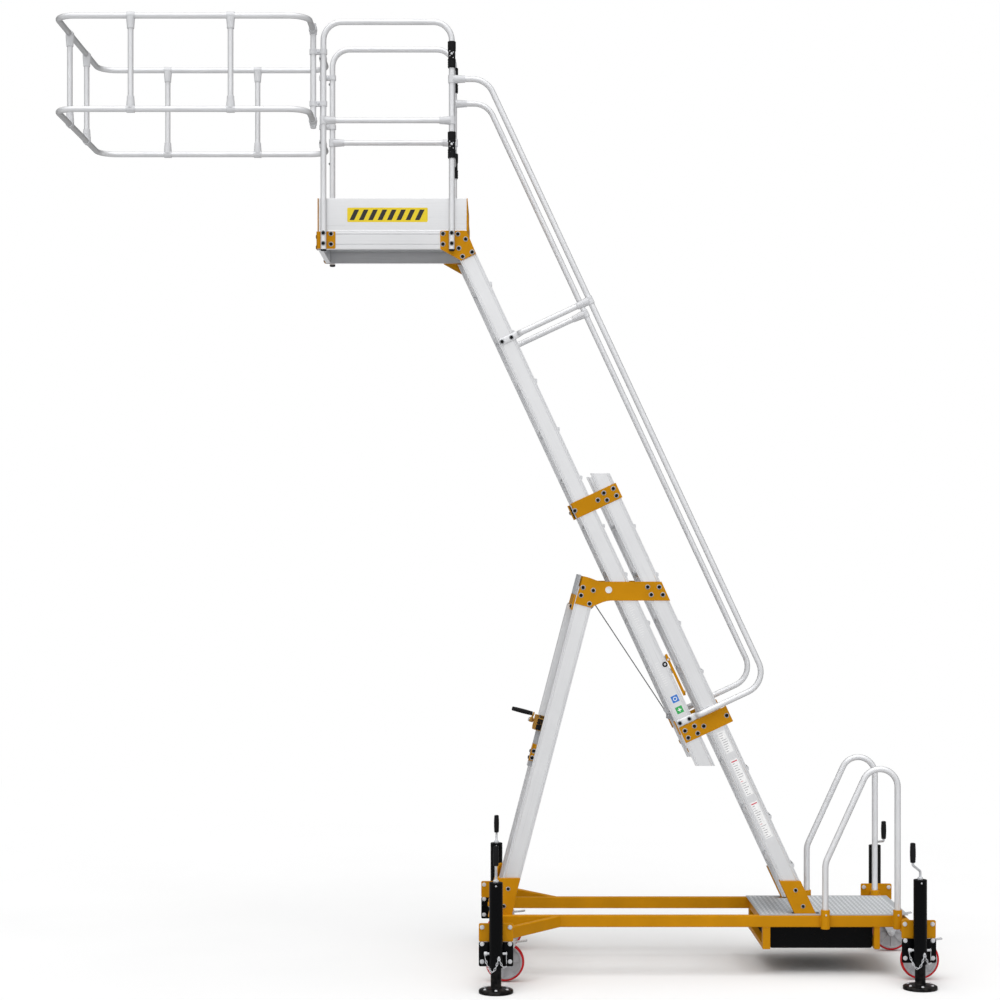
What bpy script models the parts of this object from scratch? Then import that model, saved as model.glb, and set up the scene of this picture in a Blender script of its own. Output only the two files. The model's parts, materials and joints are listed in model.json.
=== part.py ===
"""Mobile cantilever access platform, built as separate parts.

A two-section ladder leans at 65 degrees on a wheeled base and a prop. The front (upper) section
slides along the rear (lower) one and carries the platform, its guardrails and a wide guard cage.
Metres, +Z up. The origin is on the ground under the middle of the whole machine. +X points to the
rear, where a user steps on. Left is -Y and right is +Y, as seen by a user who climbs. Lengths along
X are worked out from a datum over the front jacks, and the last step moves the whole machine so that
its origin comes under its middle.
"""

import math

import bmesh
import bpy
from mathutils import Matrix, Vector

# Driving dimensions, all in metres
GAP = 0.0003  # between neighbouring solids
MIDDLE_X = 0.0367  # from the datum to the middle of the machine
SIDES = {"left": -1, "right": 1}

LADDER_TILT = math.radians(65.0)
LADDER_POINT = Vector((0.521, 0.0, 2.338))  # on the centre line of the sliding section
SECTION_OFFSET = 0.147  # from the sliding section's centre line back to the fixed one's
STILE_DEPTH = 0.092
STILE_OUTER_Y = 0.260
STILE_INNER_Y = 0.230
STILE_WEB_Y = 0.245
STILE_RIB = 0.014
STILE_GROOVE = 0.0025
RUNG_PITCH = 0.280
RUNG_HEIGHT = 0.026
RUNG_NOSE = 0.010  # how far a rung shows past the stile's rear edge
LOWER_FOOT_Z = 0.3215
LOWER_TOP_Z = 2.615
UPPER_FOOT_Z = 1.087
UPPER_TOP_Z = 3.776
SIDE_PLATE = 0.006  # thickness of the plates bolted to the stiles
GUIDE_LIP = 0.015  # how far a guide's fold runs in past the stile
UPPER_GUIDE_Z = 2.450
LOWER_GUIDE_Z = 1.300
CATCH_Z = 1.6165

PROP_SLOPE = 0.261  # rearward run per metre of height
PROP_POINT = Vector((0.093, 0.0, 0.504))
PROP_TOP_Z = 2.020
PROP_FOOT_Z = 0.3145
PROP_BARS_Z = (0.620, 1.060, 1.800)
WINCH_Z = 1.280

TUBE = 0.015  # radius of every guard tube
RAIL_Y = 0.290
POST_FRONT_X = -0.887
POST_REAR_X = -0.219
POST_FOOT_Z = 3.775
GUARD_TOP_Z = 4.962
GUARD_MID_Z = 4.450
GUARD_BEND = 0.095
HANDRAIL_TOP_Z = 4.665
HANDRAIL_OFFSET = 0.477  # from the sliding section's centre line
HANDRAIL_BEND = 0.115
HANDRAIL_FOOT_Z = 1.300
BRACE_Z = 3.312

PLATFORM_FRONT_X = -0.920
PLATFORM_REAR_X = -0.140
PLATFORM_HALF = 0.270
PLATFORM_LOW_Z = 3.784
PLATFORM_TOP_Z = 3.873
TOE_TOP_Z = 4.049
BEAM = 0.025

CAGE_FRONT_X = -2.2215
CAGE_REAR_X = -0.940
CAGE_Y = 0.585
CAGE_TOP_Z = 4.918
CAGE_LOW_Z = 4.445
CAGE_BEND = 0.100
CAGE_POSTS_X = (-1.838, -1.332)
CAGE_POSTS_Y = 0.220
CLAMPS_Z = (4.806, 4.536)

GATE_BARS_Z = (4.790, 4.320)
GATE_GAP = 0.012  # from each leaf's free end to the middle
COLLAR = 0.0215

RAIL_LOW_Z = 0.254
RAIL_TOP_Z = 0.314
RAIL_OUTER_Y = 0.310
RAIL_INNER_Y = 0.270
RAIL_REAR_X = 2.120
REAR_MEMBER_X = (2.115, 2.154)
REAR_MEMBER_TOP_Z = 0.300
DECK_X = (1.382, 2.155)
DECK_HALF = 0.305
DECK_TOP_Z = 0.3203
BALLAST_X = (1.440, 1.974)
CRADLE_X = (1.417, 1.992)
CRADLE_HALF = (0.020, 0.015)
CRADLE_LOW_Z = 0.139

FRONT_JACK = Vector((0.012, 0.720, 0.0))
REAR_JACK = Vector((2.150, 0.630, 0.0))
JACK_TOP_Z = 0.552
JACK_TUBE = 0.034
JACK_RAM = 0.027
JACK_SCREW = 0.008
JACK_LOW_Z = 0.126
JACK_PLATE_TOP = 0.2475
PLATE_HALF = 0.0865
CORNER_PLATE_Y = 0.037  # from the jack's axis in to the plate's outer face
CORNER_PLATE_Z = (0.248, 0.340)
PIN_Z = 0.195
PIN = 0.006
PIN_HALF = 0.056
PIN_HEAD = 0.010
CRANK = 0.095
REAR_CRANK_LEAN = {"left": -0.053, "right": 0.034}
GRIP = 0.100
GRIP_Z = {"left": 0.647, "right": 0.597}
RAM_UP = 0.060
RAM_DOWN = 0.100
FOOT = 0.0865
FOOT_HEIGHT = 0.025

FRONT_CASTOR_Y = 0.450
REAR_CASTOR_Y = 0.392
WHEEL = 0.100
WHEEL_HALF = 0.020
WHEEL_Z = 0.103
TRAIL = 0.045  # from the swivel's axis back to the axle
PEDAL_HALF = 0.021

ENTRY = 0.017  # radius of the entry handrails
ENTRY_Y = 0.325
SOCKET_BORE = 0.0184
SOCKET = 0.0235
SOCKET_Z = (0.248, 0.347)
ENTRY_FRONT_X = 1.720
ENTRY_REAR_X = 2.095
ENTRY_FOOT_Z = 0.252
ENTRY_KNEE_Z = 0.588
ENTRY_BEND = 0.092
ENTRY_BEND_Z = 0.985
ENTRY_LEAN = math.atan2(0.170, 0.370)  # of the slanted leg from upright

UP = Vector((-math.cos(LADDER_TILT), 0.0, math.sin(LADDER_TILT)))
BACK = Vector((math.sin(LADDER_TILT), 0.0, math.cos(LADDER_TILT)))
PROP_UP = Vector((PROP_SLOPE, 0.0, 1.0)).normalized()
PROP_BACK = Vector((PROP_UP.z, 0.0, -PROP_UP.x))
X = Vector((1.0, 0.0, 0.0))
Y = Vector((0.0, 1.0, 0.0))
Z = Vector((0.0, 0.0, 1.0))


# ---- scene and materials -------------------------------------------------------------------


def clear_scene():
    for item in list(bpy.data.objects):
        bpy.data.objects.remove(item, do_unlink=True)


def material(name, colour, roughness, metallic):
    made = bpy.data.materials.new(name)
    made.use_nodes = True
    shader = made.node_tree.nodes["Principled BSDF"]
    shader.inputs["Base Color"].default_value = (*colour, 1.0)
    shader.inputs["Roughness"].default_value = roughness
    shader.inputs["Metallic"].default_value = metallic
    return made


def make_materials():
    looks = {
        "amber": ((0.52, 0.22, 0.005), 0.45, 0.0),
        "aluminium": ((0.78, 0.79, 0.81), 0.38, 0.9),
        "tube": ((0.80, 0.81, 0.83), 0.30, 0.9),
        "plate": ((0.70, 0.72, 0.74), 0.35, 0.9),
        "black": ((0.010, 0.010, 0.012), 0.50, 0.0),
        "steel": ((0.62, 0.63, 0.65), 0.30, 0.9),
        "wheel": ((0.42, 0.42, 0.44), 0.50, 0.0),
        "rope": ((0.35, 0.35, 0.36), 0.40, 0.9),
    }
    return {name: material(name, *values) for name, values in looks.items()}


# ---- shapes --------------------------------------------------------------------------------


def shape(bm):
    """A scratch object that holds a closed bmesh with its faces pointing out."""
    bmesh.ops.remove_doubles(bm, verts=bm.verts, dist=1e-6)
    bmesh.ops.recalc_face_normals(bm, faces=bm.faces)
    mesh = bpy.data.meshes.new("shape")
    bm.to_mesh(mesh)
    bm.free()
    item = bpy.data.objects.new("shape", mesh)
    bpy.context.scene.collection.objects.link(item)
    return item


def box(low, high):
    bm = bmesh.new()
    bmesh.ops.create_cube(bm, size=1.0)
    low, high = Vector(low), Vector(high)
    size = high - low
    bmesh.ops.scale(bm, vec=size, verts=bm.verts)
    bmesh.ops.translate(bm, vec=(low + high) / 2, verts=bm.verts)
    return shape(bm)


def prism(points, along):
    """A flat outline, extruded along a vector."""
    bm = bmesh.new()
    face = bm.faces.new([bm.verts.new(point) for point in points])
    grown = bmesh.ops.extrude_face_region(bm, geom=[face])["geom"]
    moved = [item for item in grown if isinstance(item, bmesh.types.BMVert)]
    bmesh.ops.translate(bm, vec=along, verts=moved)
    return shape(bm)


def plate(outline, y_from, y_to):
    """An outline of (x, z) points, from one y to another."""
    return prism([(x, y_from, z) for x, z in outline], (0.0, y_to - y_from, 0.0))


def bar(start, end, across, up, width, height):
    """A straight bar of rectangular section between two points."""
    start, end = Vector(start), Vector(end)
    corners = [(-1, -1), (1, -1), (1, 1), (-1, 1)]
    outline = [start + across * (a * width / 2) + up * (b * height / 2) for a, b in corners]
    return prism(outline, end - start)


def cylinder(start, end, radius, sides=12):
    start, end = Vector(start), Vector(end)
    bm = bmesh.new()
    length = (end - start).length
    turn = Z.rotation_difference(end - start).to_matrix().to_4x4()
    place = Matrix.Translation((start + end) / 2) @ turn
    bmesh.ops.create_cone(
        bm, cap_ends=True, segments=sides, radius1=radius, radius2=radius, depth=length, matrix=place
    )
    return shape(bm)


def rounded(points, bend, steps):
    """The points of a path with each inner corner turned into an arc of the given radius."""
    points = [Vector(point) for point in points]
    path = [points[0]]
    for before, corner, after in zip(points, points[1:], points[2:]):
        a = (before - corner).normalized()
        b = (after - corner).normalized()
        half = a.angle(b) / 2
        reach = bend / math.tan(half)
        centre = corner + (a + b).normalized() * (bend / math.sin(half))
        first = corner + a * reach - centre
        axis = first.cross(corner + b * reach - centre).normalized()
        sweep = math.pi - 2 * half
        path += [
            centre + Matrix.Rotation(sweep * i / steps, 3, axis) @ first for i in range(steps + 1)
        ]
    return path + [points[-1]]


def pipe(points, radius, bend=0.1, resolution=2, steps=3):
    """A round bar along a path: a poly curve with a round bevel and filled caps."""
    path = rounded(points, bend, steps) if len(points) > 2 else [Vector(point) for point in points]
    curve = bpy.data.curves.new("pipe", "CURVE")
    curve.dimensions = "3D"
    curve.bevel_depth = radius
    curve.bevel_resolution = resolution
    curve.use_fill_caps = True
    line = curve.splines.new("POLY")
    line.points.add(len(path) - 1)
    for point, at in zip(line.points, path):
        point.co = (*at, 1.0)
    holder = bpy.data.objects.new("pipe", curve)
    bpy.context.scene.collection.objects.link(holder)
    bpy.context.view_layer.update()
    bm = bmesh.new()
    bm.from_mesh(holder.evaluated_get(bpy.context.evaluated_depsgraph_get()).to_mesh())
    bpy.data.objects.remove(holder, do_unlink=True)
    return shape(bm)


def turned(profile, centre, axis, steps=20):
    """A closed (radius, height) profile, spun about an axis."""
    turn = Z.rotation_difference(Vector(axis)).to_matrix().to_4x4()
    bm = bmesh.new()
    line = [bm.verts.new((radius, 0.0, height)) for radius, height in profile]
    edges = [bm.edges.new(pair) for pair in zip(line, line[1:] + line[:1])]
    bmesh.ops.spin(
        bm, geom=line + edges, cent=(0, 0, 0), axis=(0, 0, 1), angle=2 * math.pi, steps=steps
    )
    bmesh.ops.remove_doubles(bm, verts=bm.verts, dist=1e-6)
    bmesh.ops.dissolve_degenerate(bm, edges=bm.edges, dist=1e-6)
    bm.transform(Matrix.Translation(centre) @ turn)
    return shape(bm)


def part(name, look, solids, holes=(), origin=(0, 0, 0), solver="EXACT"):
    """One named solid: all the solids united, less the holes, with its origin at a point."""
    item = solids[0]
    steps = [("UNION", other) for other in solids[1:]] + [("DIFFERENCE", other) for other in holes]
    for operation, other in steps:
        modifier = item.modifiers.new("join", "BOOLEAN")
        modifier.operation = operation
        modifier.solver = solver
        modifier.object = other
    bpy.context.view_layer.update()
    graph = bpy.context.evaluated_depsgraph_get()
    mesh = bpy.data.meshes.new_from_object(item.evaluated_get(graph))
    for scratch in [item] + [other for _, other in steps]:
        bpy.data.objects.remove(scratch, do_unlink=True)
    mesh.transform(Matrix.Translation(-Vector(origin)))
    mesh.name = name
    mesh.materials.clear()
    mesh.materials.append(LOOKS[look])
    mesh.shade_smooth()
    mesh.set_sharp_from_angle(angle=math.radians(35))
    made = bpy.data.objects.new(name, mesh)
    made.location = origin
    bpy.context.scene.collection.objects.link(made)
    return made


def pivot(name, at):
    """An empty on a joint's axis, to which the moving parts are parented."""
    empty = bpy.data.objects.new(name, None)
    empty.location = at
    bpy.context.scene.collection.objects.link(empty)
    return empty


def attach(parent, items):
    for item in items:
        item.parent = parent
        item.location = Vector(item.location) - Vector(parent.location)


# ---- ladder sections, prop and brackets ----------------------------------------------------


def on_ladder(along, back, y=0.0, z=LADDER_POINT.z):
    """A point given along the ladder and square to it, from the sliding centre line at height z."""
    rise = (z - LADDER_POINT.z) / UP.z
    return LADDER_POINT + UP * (rise + along) + BACK * back + Y * y


def level_point(back, z):
    """(x, z) at height z on the line that runs along the ladder, so far back."""
    start = on_ladder(0.0, back)
    at = start + UP * ((z - start.z) / UP.z)
    return at.x, at.z


def ladder_plate(z, along, back, side):
    """A rectangular side plate square to the ladder, just outside the stiles."""
    corners = [(along[0], back[0]), (along[1], back[0]), (along[1], back[1]), (along[0], back[1])]
    points = [on_ladder(a, b, z=z) for a, b in corners]
    near = side * (STILE_OUTER_Y + 2 * GAP)
    return plate([(p.x, p.z) for p in points], near, near + side * SIDE_PLATE)


def stile_profile(side):
    """A channel with a rib along each edge, as (back, y) points."""
    half = STILE_DEPTH / 2
    inner = half - STILE_RIB
    face = STILE_OUTER_Y - STILE_GROOVE
    outline = [
        (-half, STILE_OUTER_Y),
        (-half, STILE_INNER_Y),
        (-inner, STILE_INNER_Y),
        (-inner, STILE_WEB_Y),
        (inner, STILE_WEB_Y),
        (inner, STILE_INNER_Y),
        (half, STILE_INNER_Y),
        (half, STILE_OUTER_Y),
        (inner, STILE_OUTER_Y),
        (inner - STILE_GROOVE, face),
        (STILE_GROOVE - inner, face),
        (-inner, STILE_OUTER_Y),
    ]
    return [(back, side * y) for back, y in outline]


def stile(point, up, back, z_from, z_to, side):
    """A leaning stile whose ends are cut level."""
    start = []
    for offset, y in stile_profile(side):
        at = point + back * offset + Y * y
        start.append(at + up * ((z_from - at.z) / up.z))
    return prism(start, up * ((z_to - z_from) / up.z))


def rung(centre):
    """A level rung let into both stiles, with a nose between them past their rear edge."""
    level_half = STILE_DEPTH / 2 / math.sin(LADDER_TILT)
    y = STILE_WEB_Y + 0.004
    half = RUNG_HEIGHT / 2
    low = Vector((centre.x - level_half + 0.010, -y, centre.z - half))
    tread = box(low, (centre.x + level_half - 0.010, y, centre.z + half))
    y = STILE_INNER_Y - 0.002
    low = Vector((centre.x, -y, centre.z - half + 0.001))
    nose = box(low, (centre.x + level_half + RUNG_NOSE, y, centre.z + half - 0.001))
    return [tread, nose]


def ladder_section(name, back, foot_z, top_z, clear):
    """Two stiles and their rungs."""
    point = on_ladder(0.0, back)
    solids = [stile(point, UP, BACK, foot_z, top_z, side) for side in SIDES.values()]
    rise = RUNG_PITCH * UP.z
    count = int((LADDER_POINT.z - foot_z) / rise) + 1
    z = LADDER_POINT.z - count * rise
    while z < top_z - clear:
        if z > foot_z + clear:
            centre = point + UP * ((z - point.z) / UP.z)
            solids += rung(centre)
        z += rise
    # EXACT leaves open edges where the rungs meet the grooved stiles, and MANIFOLD does not
    return part(name, "aluminium", solids, solver="MANIFOLD")


def upper_guide(name, side):
    """Bolted to the fixed section; its folded front end holds the sliding section."""
    lip = side * (STILE_INNER_Y - GUIDE_LIP)
    face = side * (STILE_OUTER_Y + 2 * GAP + SIDE_PLATE)
    corners = [(-0.050, -0.060), (0.030, -0.060), (0.030, -0.054), (-0.050, -0.054)]
    fold = [on_ladder(along, back, z=UPPER_GUIDE_Z) for along, back in corners]
    solids = [
        ladder_plate(UPPER_GUIDE_Z, (-0.050, 0.034), (-0.060, 0.200), side),
        plate([(p.x, p.z) for p in fold], lip, face),
    ]
    return part(name, "amber", solids)


def lower_guide(name, side):
    """Bolted to the sliding section; its folded rear end runs behind the fixed section."""
    lip = side * (STILE_INNER_Y - GUIDE_LIP)
    face = side * (STILE_OUTER_Y + 2 * GAP + SIDE_PLATE)
    corners = [(-0.084, 0.224), (0.004, 0.224), (0.004, 0.230), (-0.084, 0.230)]
    fold = [on_ladder(along, back, z=LOWER_GUIDE_Z) for along, back in corners]
    solids = [
        ladder_plate(LOWER_GUIDE_Z, (-0.084, 0.004), (-0.042, 0.230), side),
        plate([(p.x, p.z) for p in fold], lip, face),
    ]
    return part(name, "amber", solids)


def on_prop(z, back=0.0, y=0.0):
    return PROP_POINT + PROP_UP * ((z - PROP_POINT.z) / PROP_UP.z) + PROP_BACK * back + Y * y


def prop_frame():
    """Two stile-section legs with three cross bars."""
    solids = [
        stile(PROP_POINT, PROP_UP, PROP_BACK, PROP_FOOT_Z, PROP_TOP_Z, side)
        for side in SIDES.values()
    ]
    for z in PROP_BARS_Z:
        centre = on_prop(z)
        start = centre - Y * (STILE_WEB_Y + 0.004)
        end = centre + Y * (STILE_WEB_Y + 0.004)
        solids.append(bar(start, end, PROP_BACK, PROP_UP, 0.050, 0.050))
    return part("prop_frame", "aluminium", solids)


def a_arm(name, side):
    """The plate that ties the prop's head to the fixed ladder section."""
    outline = [
        (0.4225, 1.935),
        (0.466, 2.078),
        (0.552, 2.049),
        (0.875, 2.049),
        (0.920, 1.950),
        (0.613, 1.950),
        (0.560, 1.938),
        (0.505, 1.913),
    ]
    near = side * (STILE_OUTER_Y + 2 * GAP)
    hole = cylinder((0.599, side * 0.25, 2.006), (0.599, side * 0.28, 2.006), 0.017)
    return part(name, "amber", [plate(outline, near, near + side * SIDE_PLATE)], [hole])


# ---- winch ---------------------------------------------------------------------------------

CHEEK_Z = (1.240, 1.305)
DRUM_BACK = -0.058  # the drum's axis, in front of the prop's centre line
DRUM = 0.014
DRUM_FLANGE = 0.024
DRUM_HALF = 0.028
BOSS_BACK = -0.100
WORM_Y = 0.053
CASE_HALF = 0.034


def winch():
    """A worm winch on a post in the middle of the prop: housing, drum and crank."""
    top, low = on_prop(1.913, -0.050), on_prop(1.318, -0.050)
    post = bar(low, top, Y, PROP_BACK, 0.060, 0.042)
    foot = bar(on_prop(1.040, -0.055), on_prop(1.215, -0.055), Y, PROP_BACK, 0.070, 0.008)
    back = bar(on_prop(1.030, -0.0295), on_prop(1.840, -0.0295), Y, PROP_BACK, 0.070, 0.008)
    solids = [back, post, foot]
    low_back, high_back = on_prop(CHEEK_Z[0], -0.030), on_prop(CHEEK_Z[1], -0.030)
    low_front, high_front = on_prop(CHEEK_Z[0], -0.085), on_prop(CHEEK_Z[1], -0.085)
    cheek = [(p.x, p.z) for p in (low_back, high_back, high_front, low_front)]
    solids += [plate(cheek, side * 0.030, side * 0.036) for side in SIDES.values()]
    solids.append(bar(on_prop(1.240, -0.082), on_prop(1.250, -0.082), Y, PROP_BACK, 0.070, 0.006))
    solids.append(bar(on_prop(1.050, -0.045), on_prop(1.245, -0.045), Y, PROP_BACK, 0.050, 0.034))
    worm = on_prop(WINCH_Z, 0.0, WORM_Y)
    case = worm - PROP_BACK * 0.0575
    case_low, case_top = case - PROP_UP * CASE_HALF, case + PROP_UP * CASE_HALF
    solids.append(bar(case_low, case_top, Y, PROP_BACK, 0.036, 0.055))
    axle = on_prop(WINCH_Z, DRUM_BACK)
    holes = [
        cylinder(axle - Y * 0.05, axle + Y * 0.043, 0.0065),
        cylinder(worm - PROP_BACK * 0.067, worm - PROP_BACK * 0.095, 0.0085),
    ]
    housing = part("winch_housing", "steel", solids, holes)

    drum = part(
        "winch_drum",
        "black",
        [
            cylinder(axle - Y * DRUM_HALF, axle + Y * DRUM_HALF, DRUM, 16),
            cylinder(axle - Y * DRUM_HALF, axle - Y * (DRUM_HALF - 0.004), DRUM_FLANGE, 16),
            cylinder(axle + Y * (DRUM_HALF - 0.004), axle + Y * DRUM_HALF, DRUM_FLANGE, 16),
            cylinder(axle - Y * 0.042, axle + Y * 0.042, 0.006, 12),
        ],
        origin=axle,
    )

    boss = on_prop(WINCH_Z, BOSS_BACK, WORM_Y)
    arm_end = boss + PROP_UP * 0.043 - Y * 0.150
    arm_way = (arm_end - boss).normalized()
    arm_side = arm_way.cross(PROP_BACK)
    grip_start = arm_end - PROP_BACK * 0.006
    crank = part(
        "winch_crank",
        "black",
        [
            cylinder(boss + PROP_BACK * 0.012, boss - PROP_BACK * 0.010, 0.013, 12),
            cylinder(boss + PROP_BACK * 0.032, boss, 0.008, 12),
            bar(boss, arm_end + arm_way * 0.010, arm_side, PROP_BACK, 0.020, 0.008),
            cylinder(grip_start + PROP_BACK * 0.004, grip_start - PROP_BACK * 0.112, 0.012, 12),
        ],
        origin=boss,
    )
    return housing, drum, crank


PULLEY_AT = Vector((0.508, 0.0, 1.925))
ANCHOR_AT = Vector((0.930, 0.0, 1.3333))
PULLEY = 0.022


def rope_parts():
    """The sheave at the head of the prop, and the rope from it down to the sliding section."""
    rim = [
        (0.006, -0.010),
        (PULLEY + 0.005, -0.010),
        (PULLEY, -0.004),
        (PULLEY, 0.004),
        (PULLEY + 0.005, 0.010),
        (0.006, 0.010),
    ]
    pulley = part("rope_pulley", "steel", [turned(rim, PULLEY_AT, Y, 16)], origin=PULLEY_AT)
    way = (ANCHOR_AT - PULLEY_AT).normalized()
    start = PULLEY_AT + way * 0.040
    rope = part("lift_rope", "rope", [cylinder(start, ANCHOR_AT - way * 0.012, 0.003, 8)])
    return pulley, rope


def rung_catch():
    """A cross rod with a lever at each end, behind the sliding section."""
    pivot_at = on_ladder(0.0, 0.059, z=CATCH_Z)
    solids = [cylinder(pivot_at - Y * 0.252, pivot_at + Y * 0.252, 0.006, 10)]
    for side in SIDES.values():
        start = pivot_at + UP * 0.030 + Y * side * 0.244
        end = pivot_at - UP * 0.205 + Y * side * 0.244
        solids.append(bar(start, end, Y, BACK, 0.012, 0.014))
    return part("rung_catch", "amber", solids, origin=pivot_at)


# ---- platform and guards -------------------------------------------------------------------


def platform_frame():
    low, top = PLATFORM_LOW_Z, PLATFORM_TOP_Z
    solids = []
    for side in SIDES.values():
        edges = sorted((side * (PLATFORM_HALF - BEAM), side * PLATFORM_HALF))
        solids.append(box((PLATFORM_FRONT_X, edges[0], low), (PLATFORM_REAR_X, edges[1], top)))
    reach = PLATFORM_HALF - 0.010
    for x in (PLATFORM_FRONT_X, PLATFORM_REAR_X - BEAM):
        level = top if x == PLATFORM_FRONT_X else top - 0.030
        solids.append(box((x, -reach, low), (x + BEAM, reach, level)))
    return part("platform_frame", "aluminium", solids)


def platform_deck():
    inner = PLATFORM_HALF - BEAM - 0.0005
    front = PLATFORM_FRONT_X + BEAM + 0.0005
    top = PLATFORM_TOP_Z
    solids = [box((front, -inner, top - 0.0295), (PLATFORM_REAR_X - 0.001, inner, top - 0.004))]
    planks = 5
    pitch = 2 * inner / planks
    for i in range(planks):
        y = -inner + pitch * i
        low = (front, y + 0.002, top - 0.006)
        solids.append(box(low, (PLATFORM_REAR_X - 0.001, y + pitch - 0.002, top)))
    return part("platform_deck", "aluminium", solids)


def toe_boards():
    """Four boards joined into a ring that stands on the platform's edge."""
    low, top = PLATFORM_TOP_Z + GAP, TOE_TOP_Z
    front, rear = PLATFORM_FRONT_X + 0.012, PLATFORM_REAR_X - 0.012
    half = PLATFORM_HALF - 0.002
    outer = box((front, -half, low), (rear, half, top))
    inner = box((front + 0.004, 0.004 - half, low - 0.01), (rear - 0.004, half - 0.004, top + 0.01))
    return part("toe_boards", "aluminium", [outer], [inner])


def rear_bracket(name, side):
    """Ties the ladder's head to the platform's side beam."""
    outline = [
        (-0.281, 3.880),
        (-0.143, 3.880),
        (-0.093, 3.7606),
        (-0.173, 3.7236),
        (-0.279, 3.783),
    ]
    near = side * (PLATFORM_HALF + GAP)
    inner = side * (STILE_OUTER_Y + GAP)
    upper = plate(outline, near, near + side * 0.004)
    shim = [(-0.093, 3.7606), (-0.173, 3.7236), (-0.2005, 3.783 - GAP), (-0.1027, 3.783 - GAP)]
    return part(name, "amber", [upper, plate(shim, inner, near + side * 0.001)])


def guardrail(name, side):
    """A hoop of tube with a middle rail."""
    y = side * RAIL_Y
    hoop = [
        (POST_FRONT_X, y, POST_FOOT_Z),
        (POST_FRONT_X, y, GUARD_TOP_Z),
        (POST_REAR_X, y, GUARD_TOP_Z),
        (POST_REAR_X, y, POST_FOOT_Z),
    ]
    middle = [(POST_FRONT_X, y, GUARD_MID_Z), (POST_REAR_X, y, GUARD_MID_Z)]
    solids = [pipe(hoop, TUBE, GUARD_BEND), pipe(middle, TUBE * 0.98)]
    return part(name, "tube", solids)


def handrail(name, side):
    """A long rail beside the ladder, with a brace and a return at its foot."""
    y = side * RAIL_Y
    head = on_ladder(0.0, HANDRAIL_OFFSET, y, HANDRAIL_TOP_Z)
    head += UP * ((HANDRAIL_TOP_Z - head.z) / UP.z)
    foot = on_ladder(0.0245, HANDRAIL_OFFSET, y, HANDRAIL_FOOT_Z)
    end_y = side * (STILE_OUTER_Y + TUBE + 3 * GAP)
    line = [
        (POST_REAR_X + TUBE + 0.0015, y, HANDRAIL_TOP_Z),
        head,
        foot,
        on_ladder(0.0245, 0.100, y, HANDRAIL_FOOT_Z),
    ]
    tail = [
        on_ladder(0.0245, 0.104, y, HANDRAIL_FOOT_Z),
        on_ladder(0.0245, 0.055, end_y, HANDRAIL_FOOT_Z),
        on_ladder(0.0245, -0.032, end_y, HANDRAIL_FOOT_Z),
    ]
    brace = [
        on_ladder(0.0, -0.030, end_y, BRACE_Z),
        on_ladder(0.0, 0.060, end_y, BRACE_Z),
        on_ladder(0.0, 0.110, y, BRACE_Z),
        on_ladder(0.0, HANDRAIL_OFFSET, y, BRACE_Z),
    ]
    solids = [
        pipe(line, TUBE, HANDRAIL_BEND),
        pipe(tail, TUBE * 0.98, 0.03, steps=2),
        pipe(brace, TUBE * 0.98, 0.03, steps=2),
    ]
    return part(name, "tube", solids)


def cage():
    """Two rails bent into a wide U, with uprights, end posts and clamps."""
    rear = CAGE_REAR_X
    solids = []
    for z in (CAGE_TOP_Z, CAGE_LOW_Z):
        line = [
            (rear, -RAIL_Y, z),
            (rear, -CAGE_Y, z),
            (CAGE_FRONT_X, -CAGE_Y, z),
            (CAGE_FRONT_X, CAGE_Y, z),
            (rear, CAGE_Y, z),
            (rear, RAIL_Y, z),
        ]
        solids.append(pipe(line, TUBE, CAGE_BEND))
    uprights = [(x, side * CAGE_Y) for x in CAGE_POSTS_X for side in SIDES.values()]
    uprights += [(CAGE_FRONT_X, side * CAGE_POSTS_Y) for side in SIDES.values()]
    for x, y in uprights:
        solids.append(cylinder((x, y, CAGE_LOW_Z), (x, y, CAGE_TOP_Z), TUBE * 0.95, 10))
    for side in SIDES.values():
        y = side * RAIL_Y
        solids.append(cylinder((rear, y, CAGE_LOW_Z - 0.035), (rear, y, CAGE_TOP_Z + 0.035), TUBE, 10))
        for z in CLAMPS_Z:
            low = (rear, y - 0.016, z - 0.014)
            solids.append(box(low, (POST_FRONT_X - TUBE - 0.0005, y + 0.016, z + 0.014)))
    return part("cage", "tube", solids)


def gate(name, side):
    """One leaf of the self-closing gate, turning on the rear guard post."""
    hinge = Vector((POST_REAR_X, side * RAIL_Y, 0.0))
    end = side * GATE_GAP + side * 0.012
    high, low = GATE_BARS_Z
    path = [
        (POST_REAR_X, hinge.y - side * 0.018, high),
        (POST_REAR_X, end, high),
        (POST_REAR_X, end, low),
        (POST_REAR_X, hinge.y - side * 0.018, low),
    ]
    solids = [pipe(path, 0.012, 0.050)]
    bore = 0.0165
    for z in GATE_BARS_Z:
        ring = [(bore, -0.030), (COLLAR, -0.030), (COLLAR, 0.030), (bore, 0.030)]
        solids.append(turned(ring, (hinge.x, hinge.y, z), Z, 16))
    keep_clear = cylinder((hinge.x, hinge.y, low - 0.1), (hinge.x, hinge.y, high + 0.1), bore, 16)
    origin = (hinge.x, hinge.y, GATE_BARS_Z[1])
    return part(name, "tube", solids, [keep_clear], origin)


# ---- base ----------------------------------------------------------------------------------


def corner_plate(at, side):
    """The amber plate that carries a jack."""
    outer = at.y - CORNER_PLATE_Y
    edges = sorted((side * outer, side * (outer - 0.010)))
    low, high = CORNER_PLATE_Z
    return box((at.x - PLATE_HALF, edges[0], low), (at.x + PLATE_HALF, edges[1], high))


def socket(x, side):
    """A short tube on the rail's outer face that holds one foot of an entry handrail."""
    low, high = SOCKET_Z
    return cylinder((x, side * ENTRY_Y, low), (x, side * ENTRY_Y, high), SOCKET, 10)


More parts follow.
